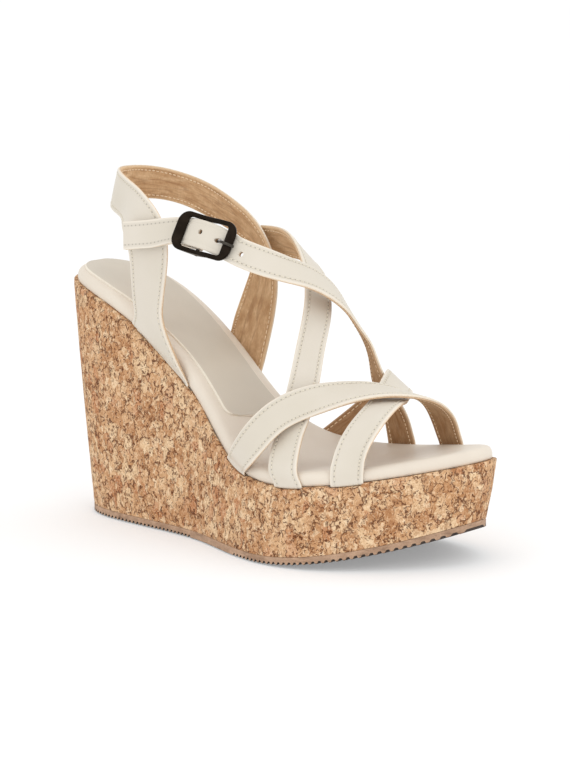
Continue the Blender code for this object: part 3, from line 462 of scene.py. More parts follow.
def strap_place(look):
    """Distance along a strap, across it, and in from its nearest edge, in millimetres."""
    place = look.node("ShaderNodeUVMap", uv_map="strap")
    parts = look.node("ShaderNodeSeparateXYZ", {"Vector": place.outputs[0]})
    run, across = (look.product(parts.outputs[k], UV_SPAN) for k in (0, 1))
    inward = look.math("MINIMUM", across, look.math("SUBTRACT", NOMINAL_WIDTH, across))
    return run, across, inward


def suede_look(name, lit_share):
    """Microsuede: nap and soft creases that run along the strap, fine fibres; a lit share below 1
    mixes dark brown in as painted shade.
    """
    look = Look(name, roughness=0.93, Specular_IOR_Level=0.18, Sheen_Weight=0.35,
                Sheen_Roughness=0.5, Sheen_Tint=(*srgb(236, 208, 168), 1.0))
    run, across, inward = strap_place(look)

    def streaks(length, width, detail, rough):
        spot = look.node("ShaderNodeCombineXYZ", {0: look.math("DIVIDE", run, length),
                                                  1: look.math("DIVIDE", across, width)})
        return look.noise(1.0, detail, spot.outputs[0], rough)

    nap = streaks(9.0, 3.0, 5, 0.66)
    fibre = look.noise(1400, 3, look.scaled((1.0, 1.0, 0.35)))
    colour = look.ramp(nap, (0.34, srgb(182, 143, 104)), (0.50, srgb(202, 166, 127)),
                       (0.66, srgb(222, 190, 152)))
    colour = look.tinted(colour, (fibre, (0.3, 0.0), (0.75, 0.40), srgb(160, 120, 84)))
    # painted shade in the creases: the crease lines are darkened in colour besides being pressed
    # in by the bump below
    fold = look.math("ABSOLUTE", look.math("SUBTRACT", streaks(36.0, 5.5, 2, 0.5), 0.5))
    fold = look.ramp(fold, (0.008, 1.0), (0.035, 0.0))
    colour = look.mix(look.product(fold, 0.30), colour, srgb(128, 88, 58))
    colour = look.tinted(colour, (inward, (0.5, 0.55), (1.5, 0.0), srgb(226, 198, 162)))
    # painted shade: mixed toward dark brown by one minus the lit share, for linings that sit in
    # shade
    look.give("Base Color", look.mix(1.0 - lit_share, colour, srgb(104, 56, 22)))
    height = look.math("ADD", fibre, nap)
    look.bump(look.math("SUBTRACT", height, look.product(fold, 0.6)), 0.35, 0.00025)
    return look.material


def cork_look():
    """Pressed cork: tan chips close in tone, a few redder, dark flecks, and short cracks between
    chips darkened as painted shade.
    """
    look = Look("cork", roughness=0.84, Specular_IOR_Level=0.2)
    warp = look.vector("SUBTRACT", look.noise(380, 3, output="Color"), (0.5, 0.5, 0.5))
    bent = look.vector("ADD", look.where, look.vector("SCALE", warp, 0.0044, "Scale"))
    tall = look.scaled((1.0, 1.0, 0.62), bent)
    chip, grit = look.cell_values(250, tall), look.cell_values(560, tall)
    fine = look.noise(1300, 3, tall, 0.7)
    colour = look.ramp(chip[0], (0.0, srgb(184, 134, 92)), (0.35, srgb(202, 155, 112)),
                       (0.7, srgb(213, 171, 129)), (1.0, srgb(226, 193, 153)))
    colour = look.tinted(colour, (grit[0], (0.0, 0.5), (0.30, 0.0), srgb(150, 98, 60)),
                         (grit[0], (0.72, 0.0), (1.0, 0.65), srgb(240, 214, 178)),
                         (chip[1], (0.86, 0.0), (0.92, 0.42), srgb(182, 112, 72)),
                         (fine, (0.36, 0.55), (0.48, 0.0), srgb(134, 86, 52)),
                         (fine, (0.53, 0.0), (0.65, 0.5), srgb(246, 222, 190)))

    # painted shade: dark colour along the chips' edges where the gaps open, pressed in by the bump
    # as well
    def gaps(scale, low, high, gate):
        seam = look.cells(scale, tall, "DISTANCE_TO_EDGE")[0]
        return look.product(look.ramp(seam, (low, 1.0), (high, 0.0)), gate)

    crack = gaps(250, 0.01, 0.07, look.ramp(look.noise(300, 2), (0.49, 0.0), (0.54, 1.0)))
    split = gaps(520, 0.02, 0.12, look.ramp(look.noise(420, 2, bent), (0.56, 0.0), (0.60, 1.0)))
    fleck = look.noise(760, 2, look.scaled((1.0, 1.0, 0.5), bent))
    # the flecks are the cork's own dark bits; the cracks and splits add painted shade in the gaps
    dark = look.math("MAXIMUM", look.ramp(fleck, (0.625, 0.0), (0.655, 1.0)), split)
    dark = look.math("MAXIMUM", dark, crack)
    look.give("Base Color", look.mix(look.product(dark, 0.88), colour, srgb(84, 40, 16)))
    look.bump(look.math("SUBTRACT", look.product(fine, 0.8), dark), 0.5, 0.00025)
    return look.material


def rubber_look(name, dark, light):
    """Moulded rubber: cloudy tone and a fine grainy surface."""
    look = Look(name, roughness=0.72, Specular_IOR_Level=0.3)
    speck = look.noise(1900, 2)
    streak = look.noise(330, 3, look.scaled((0.4, 0.4, 1.6)), 0.6)
    colour = look.ramp(look.noise(150, 4), (0.3, dark), (0.7, light))
    look.give("Base Color", look.tinted(
        colour, (speck, (0.35, 0.3), (0.6, 0.0), shade(dark, 0.6)),
        (streak, (0.34, 0.5), (0.44, 0.0), shade(dark, 0.45)),
        (streak, (0.56, 0.0), (0.68, 0.4), shade(light, 1.25))))
    look.bump(speck, 0.25, 0.0001)
    return look.material


def metal_look(name, colour, roughness, worn):
    """Dark plated metal: fine brushing and slightly brighter patches."""
    look = Look(name, colour, roughness, 1.0)
    brush = look.noise(520, 3, look.scaled((0.12, 1.0, 1.0)))
    look.give("Base Color", look.tinted(colour, (look.noise(240, 3), (0.45, 0.0), (0.75, 0.7),
                                                 worn)))
    look.give("Roughness", look.ramp(brush, (0.3, roughness * 0.75), (0.7, roughness * 1.35)))
    look.bump(brush, 0.12, 0.00005)
    return look.material


def grained_look(name, colour, roughness, grain, low, high, dark, bump):
    """One colour with darker grain: `grain` is a noise's scale, detail and roughness."""
    look = Look(name, colour, roughness)
    scale, detail, rough = grain
    tooth = look.noise(scale, detail, rough=rough)
    look.give("Base Color", look.tinted(colour, (tooth, low, (high, 0.0), dark)))
    look.bump(tooth, *bump)
    return look.material


def thread_look(name, colour):
    return grained_look(name, colour, 0.62, (4200, 2, 0.5), (0.35, 0.35), 0.6,
                        shade(colour, 0.72), (0.3, 0.00005))


def edge_look(name, colour, dark):
    """Cut edge of leather: raw fibres under a worn edge paint."""
    return grained_look(name, colour, 0.75, (1500, 4, 0.6), (0.35, 0.55), 0.62, dark,
                        (0.3, 0.0001))


def plain_look(name, colour, roughness, grain=900):
    """Unseen inner pieces still get a little tooth."""
    return grained_look(name, colour, roughness, (grain, 3, 0.5), (0.35, 0.25), 0.65,
                        shade(colour, 0.7), (0.2, 0.0001))


# ---- mesh building ----------------------------------------------------------------------
def link(name, data):
    thing = bpy.data.objects.new(name, data)
    bpy.context.scene.collection.objects.link(thing)
    return thing


def build(name, points, faces, materials, slots=None, places=None, angle=50):
    """Object from millimetre points; `slots` gives each face's material, `places` its UV."""
    mesh = bpy.data.meshes.new(name)
    mesh.from_pydata([world(p) for p in points], [], faces)
    for material in materials:
        mesh.materials.append(material)
    if slots is not None:
        mesh.polygons.foreach_set("material_index", slots)
    if places is not None:
        layer = mesh.uv_layers.new(name="strap")
        for loop in mesh.loops:
            layer.data[loop.index].uv = places[loop.vertex_index]
    bm = bmesh.new()
    bm.from_mesh(mesh)
    bmesh.ops.recalc_face_normals(bm, faces=bm.faces)
    bm.to_mesh(mesh)
    bm.free()
    mesh.shade_smooth()
    mesh.set_sharp_from_angle(angle=math.radians(angle))
    return link(name, mesh)


def bake(thing, kind, **settings):
    """Shape an object's mesh by one modifier and keep the result."""
    modifier = thing.modifiers.new("shape", kind)
    for key, value in settings.items():
        setattr(modifier, key, value)
    bpy.context.view_layer.update()
    shaped = thing.evaluated_get(bpy.context.evaluated_depsgraph_get())
    mesh = bpy.data.meshes.new_from_object(shaped)
    thing.modifiers.clear()
    thing.data = mesh


def cut_away(things, name, bm):
    """Cut the shape in `bm` out of each object."""
    mesh = bpy.data.meshes.new(name)
    bm.to_mesh(mesh)
    bm.free()
    cutter = link(name, mesh)
    for thing in things:
        bake(thing, "BOOLEAN", operation="DIFFERENCE", object=cutter)
    bpy.data.objects.remove(cutter)


def place(thing, body, slot, *nodes):
    """Ride on a body and stand for CAD nodes; `slot` is not used."""
    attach(thing, body)
    if nodes:
        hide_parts(*nodes)


def tube_walls(rows, loop):
    pairs = [(j, (j + 1) % loop) for j in range(loop)]
    return [(i * loop + j, (i + 1) * loop + j, (i + 1) * loop + k, i * loop + k)
            for i in range(rows - 1) for j, k in pairs]


def tube_faces(rows, loop):
    """Faces of a closed tube of `rows` loops, each end capped by a strip of quads."""
    return tube_walls(rows, loop) + [
        (start + j, start + j + 1, start + loop - j - 2, start + loop - j - 1)
        for start in (0, (rows - 1) * loop) for j in range(loop // 2 - 1)]


def rod_faces(rows, loop):
    """Faces of a closed rod of `rows` loops, each end one face."""
    return tube_walls(rows, loop) + [tuple(range(loop)),
                                     tuple(range((rows - 1) * loop, rows * loop))]


def ring_faces(levels, count, closed=False):
    """Faces between rings of `count` points, and back to the first ring if closed."""
    pairs = [(k, (k + 1) % count) for k in range(count)]
    return [(a * count + k, a * count + n, b * count + n, b * count + k)
            for a, b in ((level, (level + 1) % levels) for level in range(levels))
            for k, n in pairs if closed or b]


def ring_surface(rings, cap_columns=0, lift=None, closed=False):
    """Walls through closed rings, and a filled last ring with points across it."""
    rings = [np.asarray(ring, float) for ring in rings]
    count = len(rings[0])
    points = [p for ring in rings for p in ring]
    faces = ring_faces(len(rings), count, closed)
    if not cap_columns:
        return points, faces
    last = (len(rings) - 1) * count
    half = count // 2
    previous = None
    for k in range(1, half):
        near, far = rings[-1][k], rings[-1][count - k]
        row = [last + k]
        for t in np.linspace(0, 1, cap_columns + 2)[1:-1]:
            points.append(lift(near + (far - near) * t))
            row.append(len(points) - 1)
        row.append(last + count - k)
        if previous is None:
            faces += [(last, b, a) for a, b in zip(row, row[1:])]
        else:
            faces += [(a, b, d, c) for a, b, c, d in zip(previous, previous[1:], row, row[1:])]
        previous = row
    faces += [(last + half, a, b) for a, b in zip(previous, previous[1:])]
    return points, faces


# ---- straps -----------------------------------------------------------------------------
def away_from_foot(points):
    """For each point, the direction away from the foot's axis, smoothed along the strap."""
    axis = np.array(FOOT_AXIS, float)
    away = []
    for p in points:
        offsets = [p - a - (b - a) * np.clip((p - a) @ (b - a) / ((b - a) @ (b - a)), 0, 1)
                   for a, b in zip(axis, axis[1:])]
        away.append(min(offsets, key=np.linalg.norm))
    return unit(soften(np.array(away), 60))


def facing_at_heel(points):
    away = away_from_foot(points)
    lean = SLING_LEAN * smooth_step((LEAN_FROM_X - points[:, 0]) / LEAN_SPAN)
    return away * np.cos(lean)[:, None] + np.outer(np.sin(lean), (0, 0, 1))


def facing_at_buckle(points):
    away = away_from_foot(points)
    ease = smooth_step((points - BAR_CENTRE) @ AXIS_U / 30.0 - 0.6)[:, None]
    return away * ease + AXIS_W * (1 - ease)


def sole_edge(end):
    side, x_minus, x_plus = end
    return [on_wedge(x, side_y(x, side) - side * STRAP_INSET, 1.0) for x in (x_minus, x_plus)]


def clear_of_rim(point, side):
    """Push a strap point out sideways until it passes outside the insole's rim."""
    x = float(np.clip(point[0], 0, WEDGE_TOP[-1][0]))
    base = on_wedge(x, 0.0)
    up = on_wedge(x, 0.0, 1.0) - base
    height = (point - base) @ up
    inset = STRAP_INSET + max(0.0, height - COVER_TOP) * 0.8
    limit = abs(side_y(x - height * up[0], side)) - inset
    if abs(point[1]) < limit and height < COVER_TOP + 9:
        return np.array((point[0], side * limit, point[2]))
    return point


def tuck_rows(end):
    """Rows of the strap's end, from under the insole out to the wedge's edge."""
    side, x_minus, x_plus = end
    bend = 0.6
    half = TUCK_ROWS // 2
    path = [(inset, 0.0) for inset in np.linspace(TUCK, STRAP_INSET + 1.0, half)]
    path += [(STRAP_INSET + bend * (1 - math.sin(a)), bend * (1 - math.cos(a)))
             for a in np.radians(np.linspace(0, 75, half))]
    return [[on_wedge(x, side_y(x, side) - side * inset, height)
             for x in np.linspace(x_minus, x_plus, ROW_POINTS)] for inset, height in path]


def at_buckle(u, v, w):
    return BAR_CENTRE + AXIS_U * u + AXIS_V * v + AXIS_W * w


def between(minus, plus):
    """Rows of points from one edge of a strap to the other."""
    t = np.linspace(0, 1, ROW_POINTS)[None, :, None]
    return minus[:, None, :] * (1 - t) + plus[:, None, :] * t


class Strap:
    """Inner face of a strap as rows of points, from one end to the other."""

    def __init__(self, line, ends, facing=away_from_foot):
        line = [tuple(p) for p in line]
        start, finish = ends
        if start:
            line = [(*np.mean(sole_edge(start), axis=0), line[0][3])] + line
        if finish:
            line = line + [(*np.mean(sole_edge(finish), axis=0), line[-1][3])]
        curve = even_rows(spline(line, 24), STRAP_STEP)
        middle, width = curve[:, :3], curve[:, 3]
        along = unit(np.gradient(middle, axis=0))
        out = facing(middle)
        out = unit(out - along * np.sum(out * along, axis=1)[:, None])
        across = np.cross(along, out)
        minus = middle - across * (width / 2)[:, None]
        plus = middle + across * (width / 2)[:, None]
        run = run_along(middle)
        spans = [span for span in ((start, run, 0), (finish, run[-1] - run, -1)) if span[0]]
        for end, distance, row in spans:
            ease = smooth_step(1 - distance / EASE_RUN)[:, None]
            edge = sole_edge(end)
            minus = minus + ease * (edge[0] - minus[row])
            plus = plus + ease * (edge[1] - plus[row])
        rows = between(minus, plus)
        for end, distance, row in spans:
            for k in np.flatnonzero(distance < CLEAR_RUN):
                rows[k] = [clear_of_rim(p, end[0]) for p in rows[k]]
        rows = soften(rows, 4)
        if start:
            rows = np.vstack([tuck_rows(start), rows])
        if finish:
            rows = np.vstack([rows, tuck_rows(finish)[::-1]])
        self.rows = rows
        self.free = (TUCK_ROWS if start else 0, len(rows) - (TUCK_ROWS if finish else 0))

    def skive(self):
        """Share of the full thickness left at each row: the ends are pared down."""
        rows = np.arange(len(self.rows))
        share = np.ones(len(rows))
        if self.free[0]:
            share *= SKIVED + (1 - SKIVED) * smooth_step((rows - self.free[0]) / SKIVE_ROWS)
        if self.free[1] < len(rows):
            share *= SKIVED + (1 - SKIVED) * smooth_step((self.free[1] - 1 - rows) / SKIVE_ROWS)
        return share

    def grid(self, insets):
        """Points, normals and run over the strap, at distances in from its two edges."""
        width = np.linalg.norm(self.rows[:, -1] - self.rows[:, 0], axis=1)
        places = np.linspace(0, 1, ROW_POINTS)
        points = np.empty((len(self.rows), len(insets), 3))
        for k, row in enumerate(self.rows):
            t = [inset / width[k] if side == "a" else 1 - inset / width[k] if side == "b"
                 else inset for side, inset in insets]
            for axis in range(3):
                points[k, :, axis] = np.interp(t, places, row[:, axis])
        along = unit(np.gradient(points, axis=0))
        across = unit(np.gradient(points, axis=1))
        return points, unit(np.cross(across, along)), run_along(self.rows[:, ROW_POINTS // 2])


EDGE_INSETS = (0.0, 0.14, 0.4, 1.0, 1.55, 1.85, 2.15, 2.45, 3.1)
INSETS = ([("a", d) for d in EDGE_INSETS] + [("m", t) for t in (0.32, 0.41, 0.5, 0.59, 0.68)]
          + [("b", d) for d in EDGE_INSETS[::-1]])
INWARD = np.array([*EDGE_INSETS, *(6.0,) * 5, *EDGE_INSETS[::-1]])
ACROSS = np.array([*EDGE_INSETS, 5.5, 7.25, 9.0, 10.75, 12.5,
                   *(NOMINAL_WIDTH - d for d in EDGE_INSETS[::-1])])


def relief(inward):
    """Height of the face: rolled edge, needle groove, slightly full middle."""
    edge = -0.36 * np.exp(-((inward / 0.2) ** 2)) - 0.10 * np.exp(-((inward / 0.55) ** 2))
    groove = -0.15 * np.exp(-(((inward - STITCH_INSET) / 0.36) ** 2))
    return edge + groove + 0.10 * smooth_step((inward - 2.2) / 3.0)


def band(name, strap, low, high, materials, faces_out, inset=0.0, plain_run=0.0):
    """Closed layer of a strap; the shaped face is outside or inside, its edges are cut."""
    points, normals, run = strap.grid([(side, d + inset if side != "m" else d)
                                       for side, d in INSETS])
    shape = relief(INWARD)
    uneven = 0.10 * wave(points, 9.0, len(name)) * np.clip(INWARD / 2.0, 0, 1)
    rounded = np.exp(-((INWARD / 0.3) ** 2))
    if faces_out:
        top, bottom = high + shape + uneven, np.full_like(uneven, low) + 0.08 * rounded
    else:
        top, bottom = np.full_like(uneven, high) - 0.05 * rounded, low - shape - uneven
    thin = strap.skive()[:, None, None]
    upper = points + normals * top[..., None] * thin
    lower = points + normals * bottom[..., None] * thin
    rows, columns = len(points), len(INSETS)
    loop = 2 * columns
    skin = np.concatenate([upper, lower[:, ::-1]], axis=1).reshape(-1, 3)
    faces = tube_faces(rows, loop)
    rolled = (0, columns - 2) if faces_out else ()
    slots = [int(j in (columns - 1, loop - 1, *rolled)) for j in range(loop)] * (rows - 1)
    slots += [1] * (len(faces) - len(slots))
    for i in np.flatnonzero(run[:-1] < plain_run):
        slots[i * loop:(i + 1) * loop] = [slot or 2 for slot in slots[i * loop:(i + 1) * loop]]
    across = np.concatenate([ACROSS, ACROSS[::-1]])
    places = [(r / UV_SPAN, a / UV_SPAN) for r in run for a in across]
    return build(name, skin, faces, materials, slots, places)


def stitch_row(points, normals, run, start, stop, pitch=STITCH_PITCH):
    """Points and faces of stitches along a line of surface points."""
    turns = ring_angles(6)
    along = unit(np.gradient(points, axis=0))
    stitches = []
    centre = math.ceil(start / pitch) * pitch
    while centre < stop:
        made = []
        for k, share in enumerate((-0.5, -0.40, -0.2, 0.0, 0.2, 0.40, 0.5)):
            place_on = centre + share * STITCH_LENGTH
            p, n, t = (np.array([np.interp(place_on, run, field[:, axis]) for axis in range(3)])
                       for field in (points, normals, along))
            n, t = unit(n), unit(t)
            b = np.cross(n, t)
            far = abs(k - 3) / 3
            rise = STITCH_RADIUS * (0.35 - 1.5 * far ** 4)
            radius = STITCH_RADIUS * (1.0 if far < 0.9 else 0.45)
            made += [p + n * (rise + radius * 0.85 * math.sin(a)) + b * radius * math.cos(a)
                     for a in turns]
        stitches.append((made, rod_faces(len(made) // len(turns), len(turns))))
        centre += pitch
    return join_rows(stitches)


def join_rows(parts):
    points, faces = [], []
    for some_points, some_faces in parts:
        faces += [tuple(k + len(points) for k in face) for face in some_faces]
        points += some_points
    return points, faces


def strap_stitches(name, strap, high, threads, plain_run):
    """Thread along both edges, outside and on the lining."""
    points, normals, run = strap.grid([("a", STITCH_INSET), ("b", STITCH_INSET)])
    thin = strap.skive()[:, None]
    groove = 0.10
    first, last = max(run[strap.free[0]], plain_run), run[strap.free[1] - 1]
    seams = []
    for lift, flip in ((high - groove, 1.0), (groove, -1.0)):
        for column in (0, 1):
            line = points[:, column] + normals[:, column] * lift * thin
            seams.append(stitch_row(line, normals[:, column] * flip, run, first, last))
    outside = len(seams[0][1]) + len(seams[1][1])
    made_points, made_faces = join_rows(seams)
    slots = [int(k >= outside) for k in range(len(made_faces))]
    return build(name, made_points, made_faces, threads, slots, angle=80)


def make_strap(name, strap, looks, plain_run=0.0):
    """The two layers of a strap and its seams, which start after `plain_run`."""
    leather, suede, edge, raw, plain, *threads = looks
    full = LINING_THICK + OUTER_THICK
    lining = band(f"{name}_lining_skin", strap, 0.0, LINING_THICK, [suede, raw], False, 0.12)
    outer = band(f"{name}_outer_skin", strap, LINING_THICK, full, [leather, edge, plain], True,
                 plain_run=plain_run)
    seams = strap_stitches(f"{name}_stitches", strap, full, threads, plain_run)
    place(lining, "sandal", "tan_suede", f"{name}_lining")
    place(outer, "sandal", "cream_leather", f"{name}_outer")
    place(seams, "sandal", "cream_leather")
    return lining, outer


# ---- buckle -----------------------------------------------------------------------------
def frame_level(u):
    return FRAME_RISE * min(1.0, abs(u) / FRAME_BOW) ** 1.6


def frame_loop(u_range, half_height, corner, steps=8, along=26):
    """Rounded rectangle, as matching points for the frame's outline and its window."""
    u0, u1, v1 = u_range[0] + corner, u_range[1] - corner, half_height - corner
    points = []
    for u, v, start, far in ((u1, v1, 0, u0), (u0, v1, 90, None), (u0, -v1, 180, u1),
                             (u1, -v1, 270, None)):
        for step in range(steps + 1):
            angle = math.radians(start + 90 / steps * step)
            points.append((u + corner * math.cos(angle), v + corner * math.sin(angle)))
        if far is not None:
            points += [(u + (far - u) * t, math.copysign(half_height, v))
                       for t in np.linspace(0, 1, along)[1:-1]]
    return points


def make_frame(material):
    """Bowed frame with a soft-edged section: flat faces and round shoulders."""
    outside = np.array(frame_loop(FRAME_U, FRAME_HALF_HEIGHT, FRAME_CORNER))
    inside = np.array(frame_loop(WINDOW_U, WINDOW_HALF_HEIGHT, WINDOW_CORNER))
    power = 0.42
    rings = []
    for a in ring_angles(20):
        across, up = (math.copysign(abs(c) ** power, c) for c in (math.cos(a), math.sin(a)))
        ring = []
        for o, i in zip(outside, inside):
            u, v = (o + i) / 2 + (o - i) / 2 * across
            lug = (LUG_HALF_THICK - FRAME_HALF_THICK) * math.exp(-(u / LUG_REACH) ** 2)
            relieved = FRAME_RELIEF * smooth_step((abs(u) - 6.0) / 3.0)
            low = frame_level(u) - FRAME_HALF_THICK - lug + relieved
            high = FRAME_RISE + FRAME_HALF_THICK - FACE_DIP * math.exp(-(u / FRAME_BOW) ** 2)
            ring.append(at_buckle(u, v, (high + low) / 2 + up * (high - low) / 2))
        rings.append(ring)
    frame_piece = build("buckle_frame_metal", *ring_surface(rings, closed=True), [material],
                        angle=60)
    place(frame_piece, "buckle", "dark_bronze", "buckle_frame")


def make_prong(material):
    """Tongue: an eye round the bar, then a slim pin that lies on the frame's front bar."""
    ring = [(PRONG_RING * math.cos(a), PRONG_RING * math.sin(a))
            for a in np.radians(np.linspace(15, 295, 25))]
    tongue = spline([(*p, 0) for p in [ring[-1], *PRONG_TIP]], 6)[1:, :2]
    path = [at_buckle(u, PRONG_START_V + PRONG_SKEW * u, w) for u, w in [*ring, *tongue]]
    last = path[-1]
    forward = unit(path[-1] - path[-2])
    radii = [PRONG_RADIUS] * len(path)
    for out, share in ((0.25, 0.92), (0.45, 0.72), (0.58, 0.35)):
        path.append(last + forward * out)
        radii.append(PRONG_RADIUS * share)
    path = np.array(path)
    along = unit(np.gradient(path, axis=0))
    side = unit(np.cross(along, AXIS_V + AXIS_W * 0.001))
    turns = ring_angles(16)
    points = [p + s * radius * math.cos(t) + o * radius * math.sin(t)
              for p, s, o, radius in zip(path, side, np.cross(side, along), radii)
              for t in turns]
    prong = build("buckle_prong_pin", points, rod_faces(len(path), len(turns)), [material],
                  angle=60)
    place(prong, "prong", "gunmetal", "buckle_prong")


def make_bar(material):
    lengths = [-BAR_HALF, -BAR_HALF + 0.15, *np.linspace(-8, 8, 17), BAR_HALF - 0.15, BAR_HALF]
    turns = ring_angles(24)
    points = []
    for v in lengths:
        radius = BAR_RADIUS - (0.15 if abs(v) >= BAR_HALF else 0.0)
        points += [at_buckle(radius * math.cos(t), v, radius * math.sin(t)) for t in turns]
    bar = build("buckle_bar_rod", points, rod_faces(len(lengths), len(turns)), [material],
                angle=60)
    place(bar, "buckle", "steel", "buckle_bar")


def on_buckle(spot, size):
    """Matrix of a cutter on the buckle's axes: its middle and its size in millimetres."""
    axes = Matrix((AXIS_U, AXIS_V, AXIS_W)).transposed().to_4x4()
    scale = Matrix.Diagonal((*(length * MM for length in size), 1.0))
    return Matrix.Translation(world(at_buckle(*spot))) @ axes @ scale


def punch_holes(layers):
    """Round holes, and a longer one for the prong, cut through the strap's layers."""
    bm = bmesh.new()
    for u, v, stretch, level in (*((*hole, 1.0, 1.5) for hole in HOLES),
                                 (*PRONG_HOLE, HOLE_STRETCH, 3.4)):
        spot = on_buckle((u, v, level), (HOLE_RADIUS * stretch, HOLE_RADIUS, 1.0))
        bmesh.ops.create_cone(bm, cap_ends=True, segments=28, radius1=1.0, radius2=1.0,
                              depth=12.0, matrix=spot)
    cut_away(layers, "strap_holes", bm)


def outer_face_y(face, x, z):
    """Y of a strap's outer face on the outside of the foot, below a point of the side view."""
    samples = face.reshape(-1, 3)
    samples = samples[samples[:, 1] < -10]
    distance = np.linalg.norm(samples[:, [0, 2]] - (x, z), axis=1)
    return float(samples[distance < max(4.0, distance.min() + 0.5), 1].min())


class Tab:
    """Folded buckle tab: rows of points from its sewn end, round the bar and back."""

    def __init__(self, heel_strap):
        points, normals, _ = heel_strap.grid(INSETS)
        face = points + normals * (LINING_THICK + OUTER_THICK)
        lift = 1.25 + TAB_PLY
        half = TAB_WIDTH / 2
        rails = []
        for sign in (-1, 1):
            line = []
            for x, z in TAB_SEWN:
                edge_x, edge_z = x - sign * 1.0, z + sign * half
                line.append((edge_x, outer_face_y(face, edge_x, edge_z) - lift, edge_z))
            line += [at_buckle(u, sign * half, w) for u, w in TAB_FREE]
            rails.append(even_rows(spline(line, 20), 1.2))
        count = min(len(rail) for rail in rails)
        low, high = (rail[np.linspace(0, len(rail) - 1, count).round().astype(int)]
                     for rail in rails)
        along = np.gradient((low + high) / 2, axis=0)
        out = unit(np.cross(along, high - low))
        if out[0][1] > 0:
            out = -out
        reach = ((low + high) / 2 - BAR_CENTRE) @ AXIS_U
        tight = (TAB_PLY + 0.05) / 2
        spread = (tight + (TAB_SPREAD - tight) * smooth_step(1 + reach / 9.0))[:, None]
        top = np.stack([low + out * spread, high + out * spread], axis=1)[:-1]
        fold = [[at_buckle(TAB_SPREAD * math.cos(a), v, TAB_SPREAD * math.sin(a))
                 for v in (-half, half)] for a in np.radians(np.linspace(90, -90, 15))]
        under = np.stack([low - out * spread, high - out * spread], axis=1)[-2::-1]
        edges = np.concatenate([top, fold, under])
        self.rows = soften(between(edges[:, 0], edges[:, 1]), 2)
        self.free = (0, len(self.rows))
        self.sewn = count

    grid = Strap.grid
    skive = Strap.skive


def make_tab(heel_strap, leather, edge, thread):
    tab = Tab(heel_strap)
    skin = band("buckle_tab_skin", tab, -TAB_PLY / 2, TAB_PLY / 2, [leather, edge], True)
    bm = bmesh.new()
    bmesh.ops.create_cube(bm, size=1.0, matrix=on_buckle((0, 0, 0), PRONG_SLOT))
    cut_away([skin], "prong_slot", bm)
    place(skin, "sandal", "cream_leather", "buckle_tab")

    # seam along both edges, closed by a row at the sewn end and one before the heel strap's edge
    points, normals, run = tab.grid([("a", STITCH_INSET), ("b", STITCH_INSET)])
    lift = TAB_PLY / 2 - 0.05
    stop = run[tab.sewn] - 8.0
    parts = [stitch_row(points[:, c] + normals[:, c] * lift, normals[:, c], run, STITCH_INSET,
                        stop) for c in (0, 1)]
    rows, facing, run = tab.grid([("m", t) for t in np.linspace(0.14, 0.86, 12)])
    for at in (STITCH_INSET, 23.5):
        k = int(np.searchsorted(run, at))
        line = rows[k] + facing[k] * (TAB_PLY / 2 + 0.02)
        length = run_along(line)
        parts.append(stitch_row(line, facing[k], length, 0.5, length[-1], 2.6))
    seams = build("buckle_tab_stitches", *join_rows(parts), [thread], angle=80)
    place(seams, "sandal", "cream_leather")


# ---- sole -------------------------------------------------------------------------------
def strap_pocket(x, side):
    """How far the cork's top edge is let down under a strap's end."""
    every = (HEEL_STRAP_ENDS + VAMP_STRAP_ENDS + TOE_STRAP_ENDS + INSTEP_STRAP_ENDS
             + BUCKLE_STRAP_ENDS)
    inside = max(min(x - (min(end[1:]) - 0.3), max(end[1:]) + 0.3 - x)
                 for end in every if end and end[0] == side)
    return POCKET_DEPTH * float(smooth_step(inside + 0.5))


def make_cork(material):
    """Cork sheet round the wedge: slightly full sides, a soft top edge, uneven surface."""
    places = paired_samples(TOP_OUTLINE, 240)
    half = len(places) // 2
    sides = [-1] * (half + 1) + [1] * (len(places) - half - 1)
    top = sample_at(TOP_OUTLINE, places)
    drop = [strap_pocket(x, s) for (x, y), s in zip(top, sides)]

    def top_ring(outline):
        return np.array([on_wedge(x, y, -d) for (x, y), d in zip(outline, drop)])

    foot = sample_at(FOOT_OUTLINE, places)
    inside_foot = sample_at(inset_outline(FOOT_OUTLINE, 1.6), places)
    lower = np.array([(x, y, wedge_foot(x)) for x, y in foot])
    upper = top_ring(top)
    outward = unit(np.array([(*(a - b), 0.0) for a, b in zip(foot, inside_foot)]))
    rings = [np.column_stack([inside_foot, lower[:, 2]])]
    for t in np.linspace(0, 1, 42):
        bow = 0.35 * math.sin(math.pi * t)
        edge = -0.35 * max(0.0, (t - 0.985) / 0.015) - 0.15 * max(0.0, (0.015 - t) / 0.015)
        ring = lower * (1 - t) + upper * t
        uneven = 0.09 * wave(ring, 5.0, 3) + 0.05 * wave(ring, 1.6, 4)
        rings.append(ring + outward * (bow + edge + uneven)[:, None])
    rings[-1] = rings[-1] - np.array([on_wedge(x, y, 0.3) - on_wedge(x, y) for x, y in top])
    rings += [top_ring(sample_at(inset_outline(TOP_OUTLINE, inset), places))
              for inset in (1.0, 4.2)]
    cork = build("cork_skin", *ring_surface(rings, closed=True), [material], angle=60)
    place(cork, "sandal", "cork", "cork_wrap")


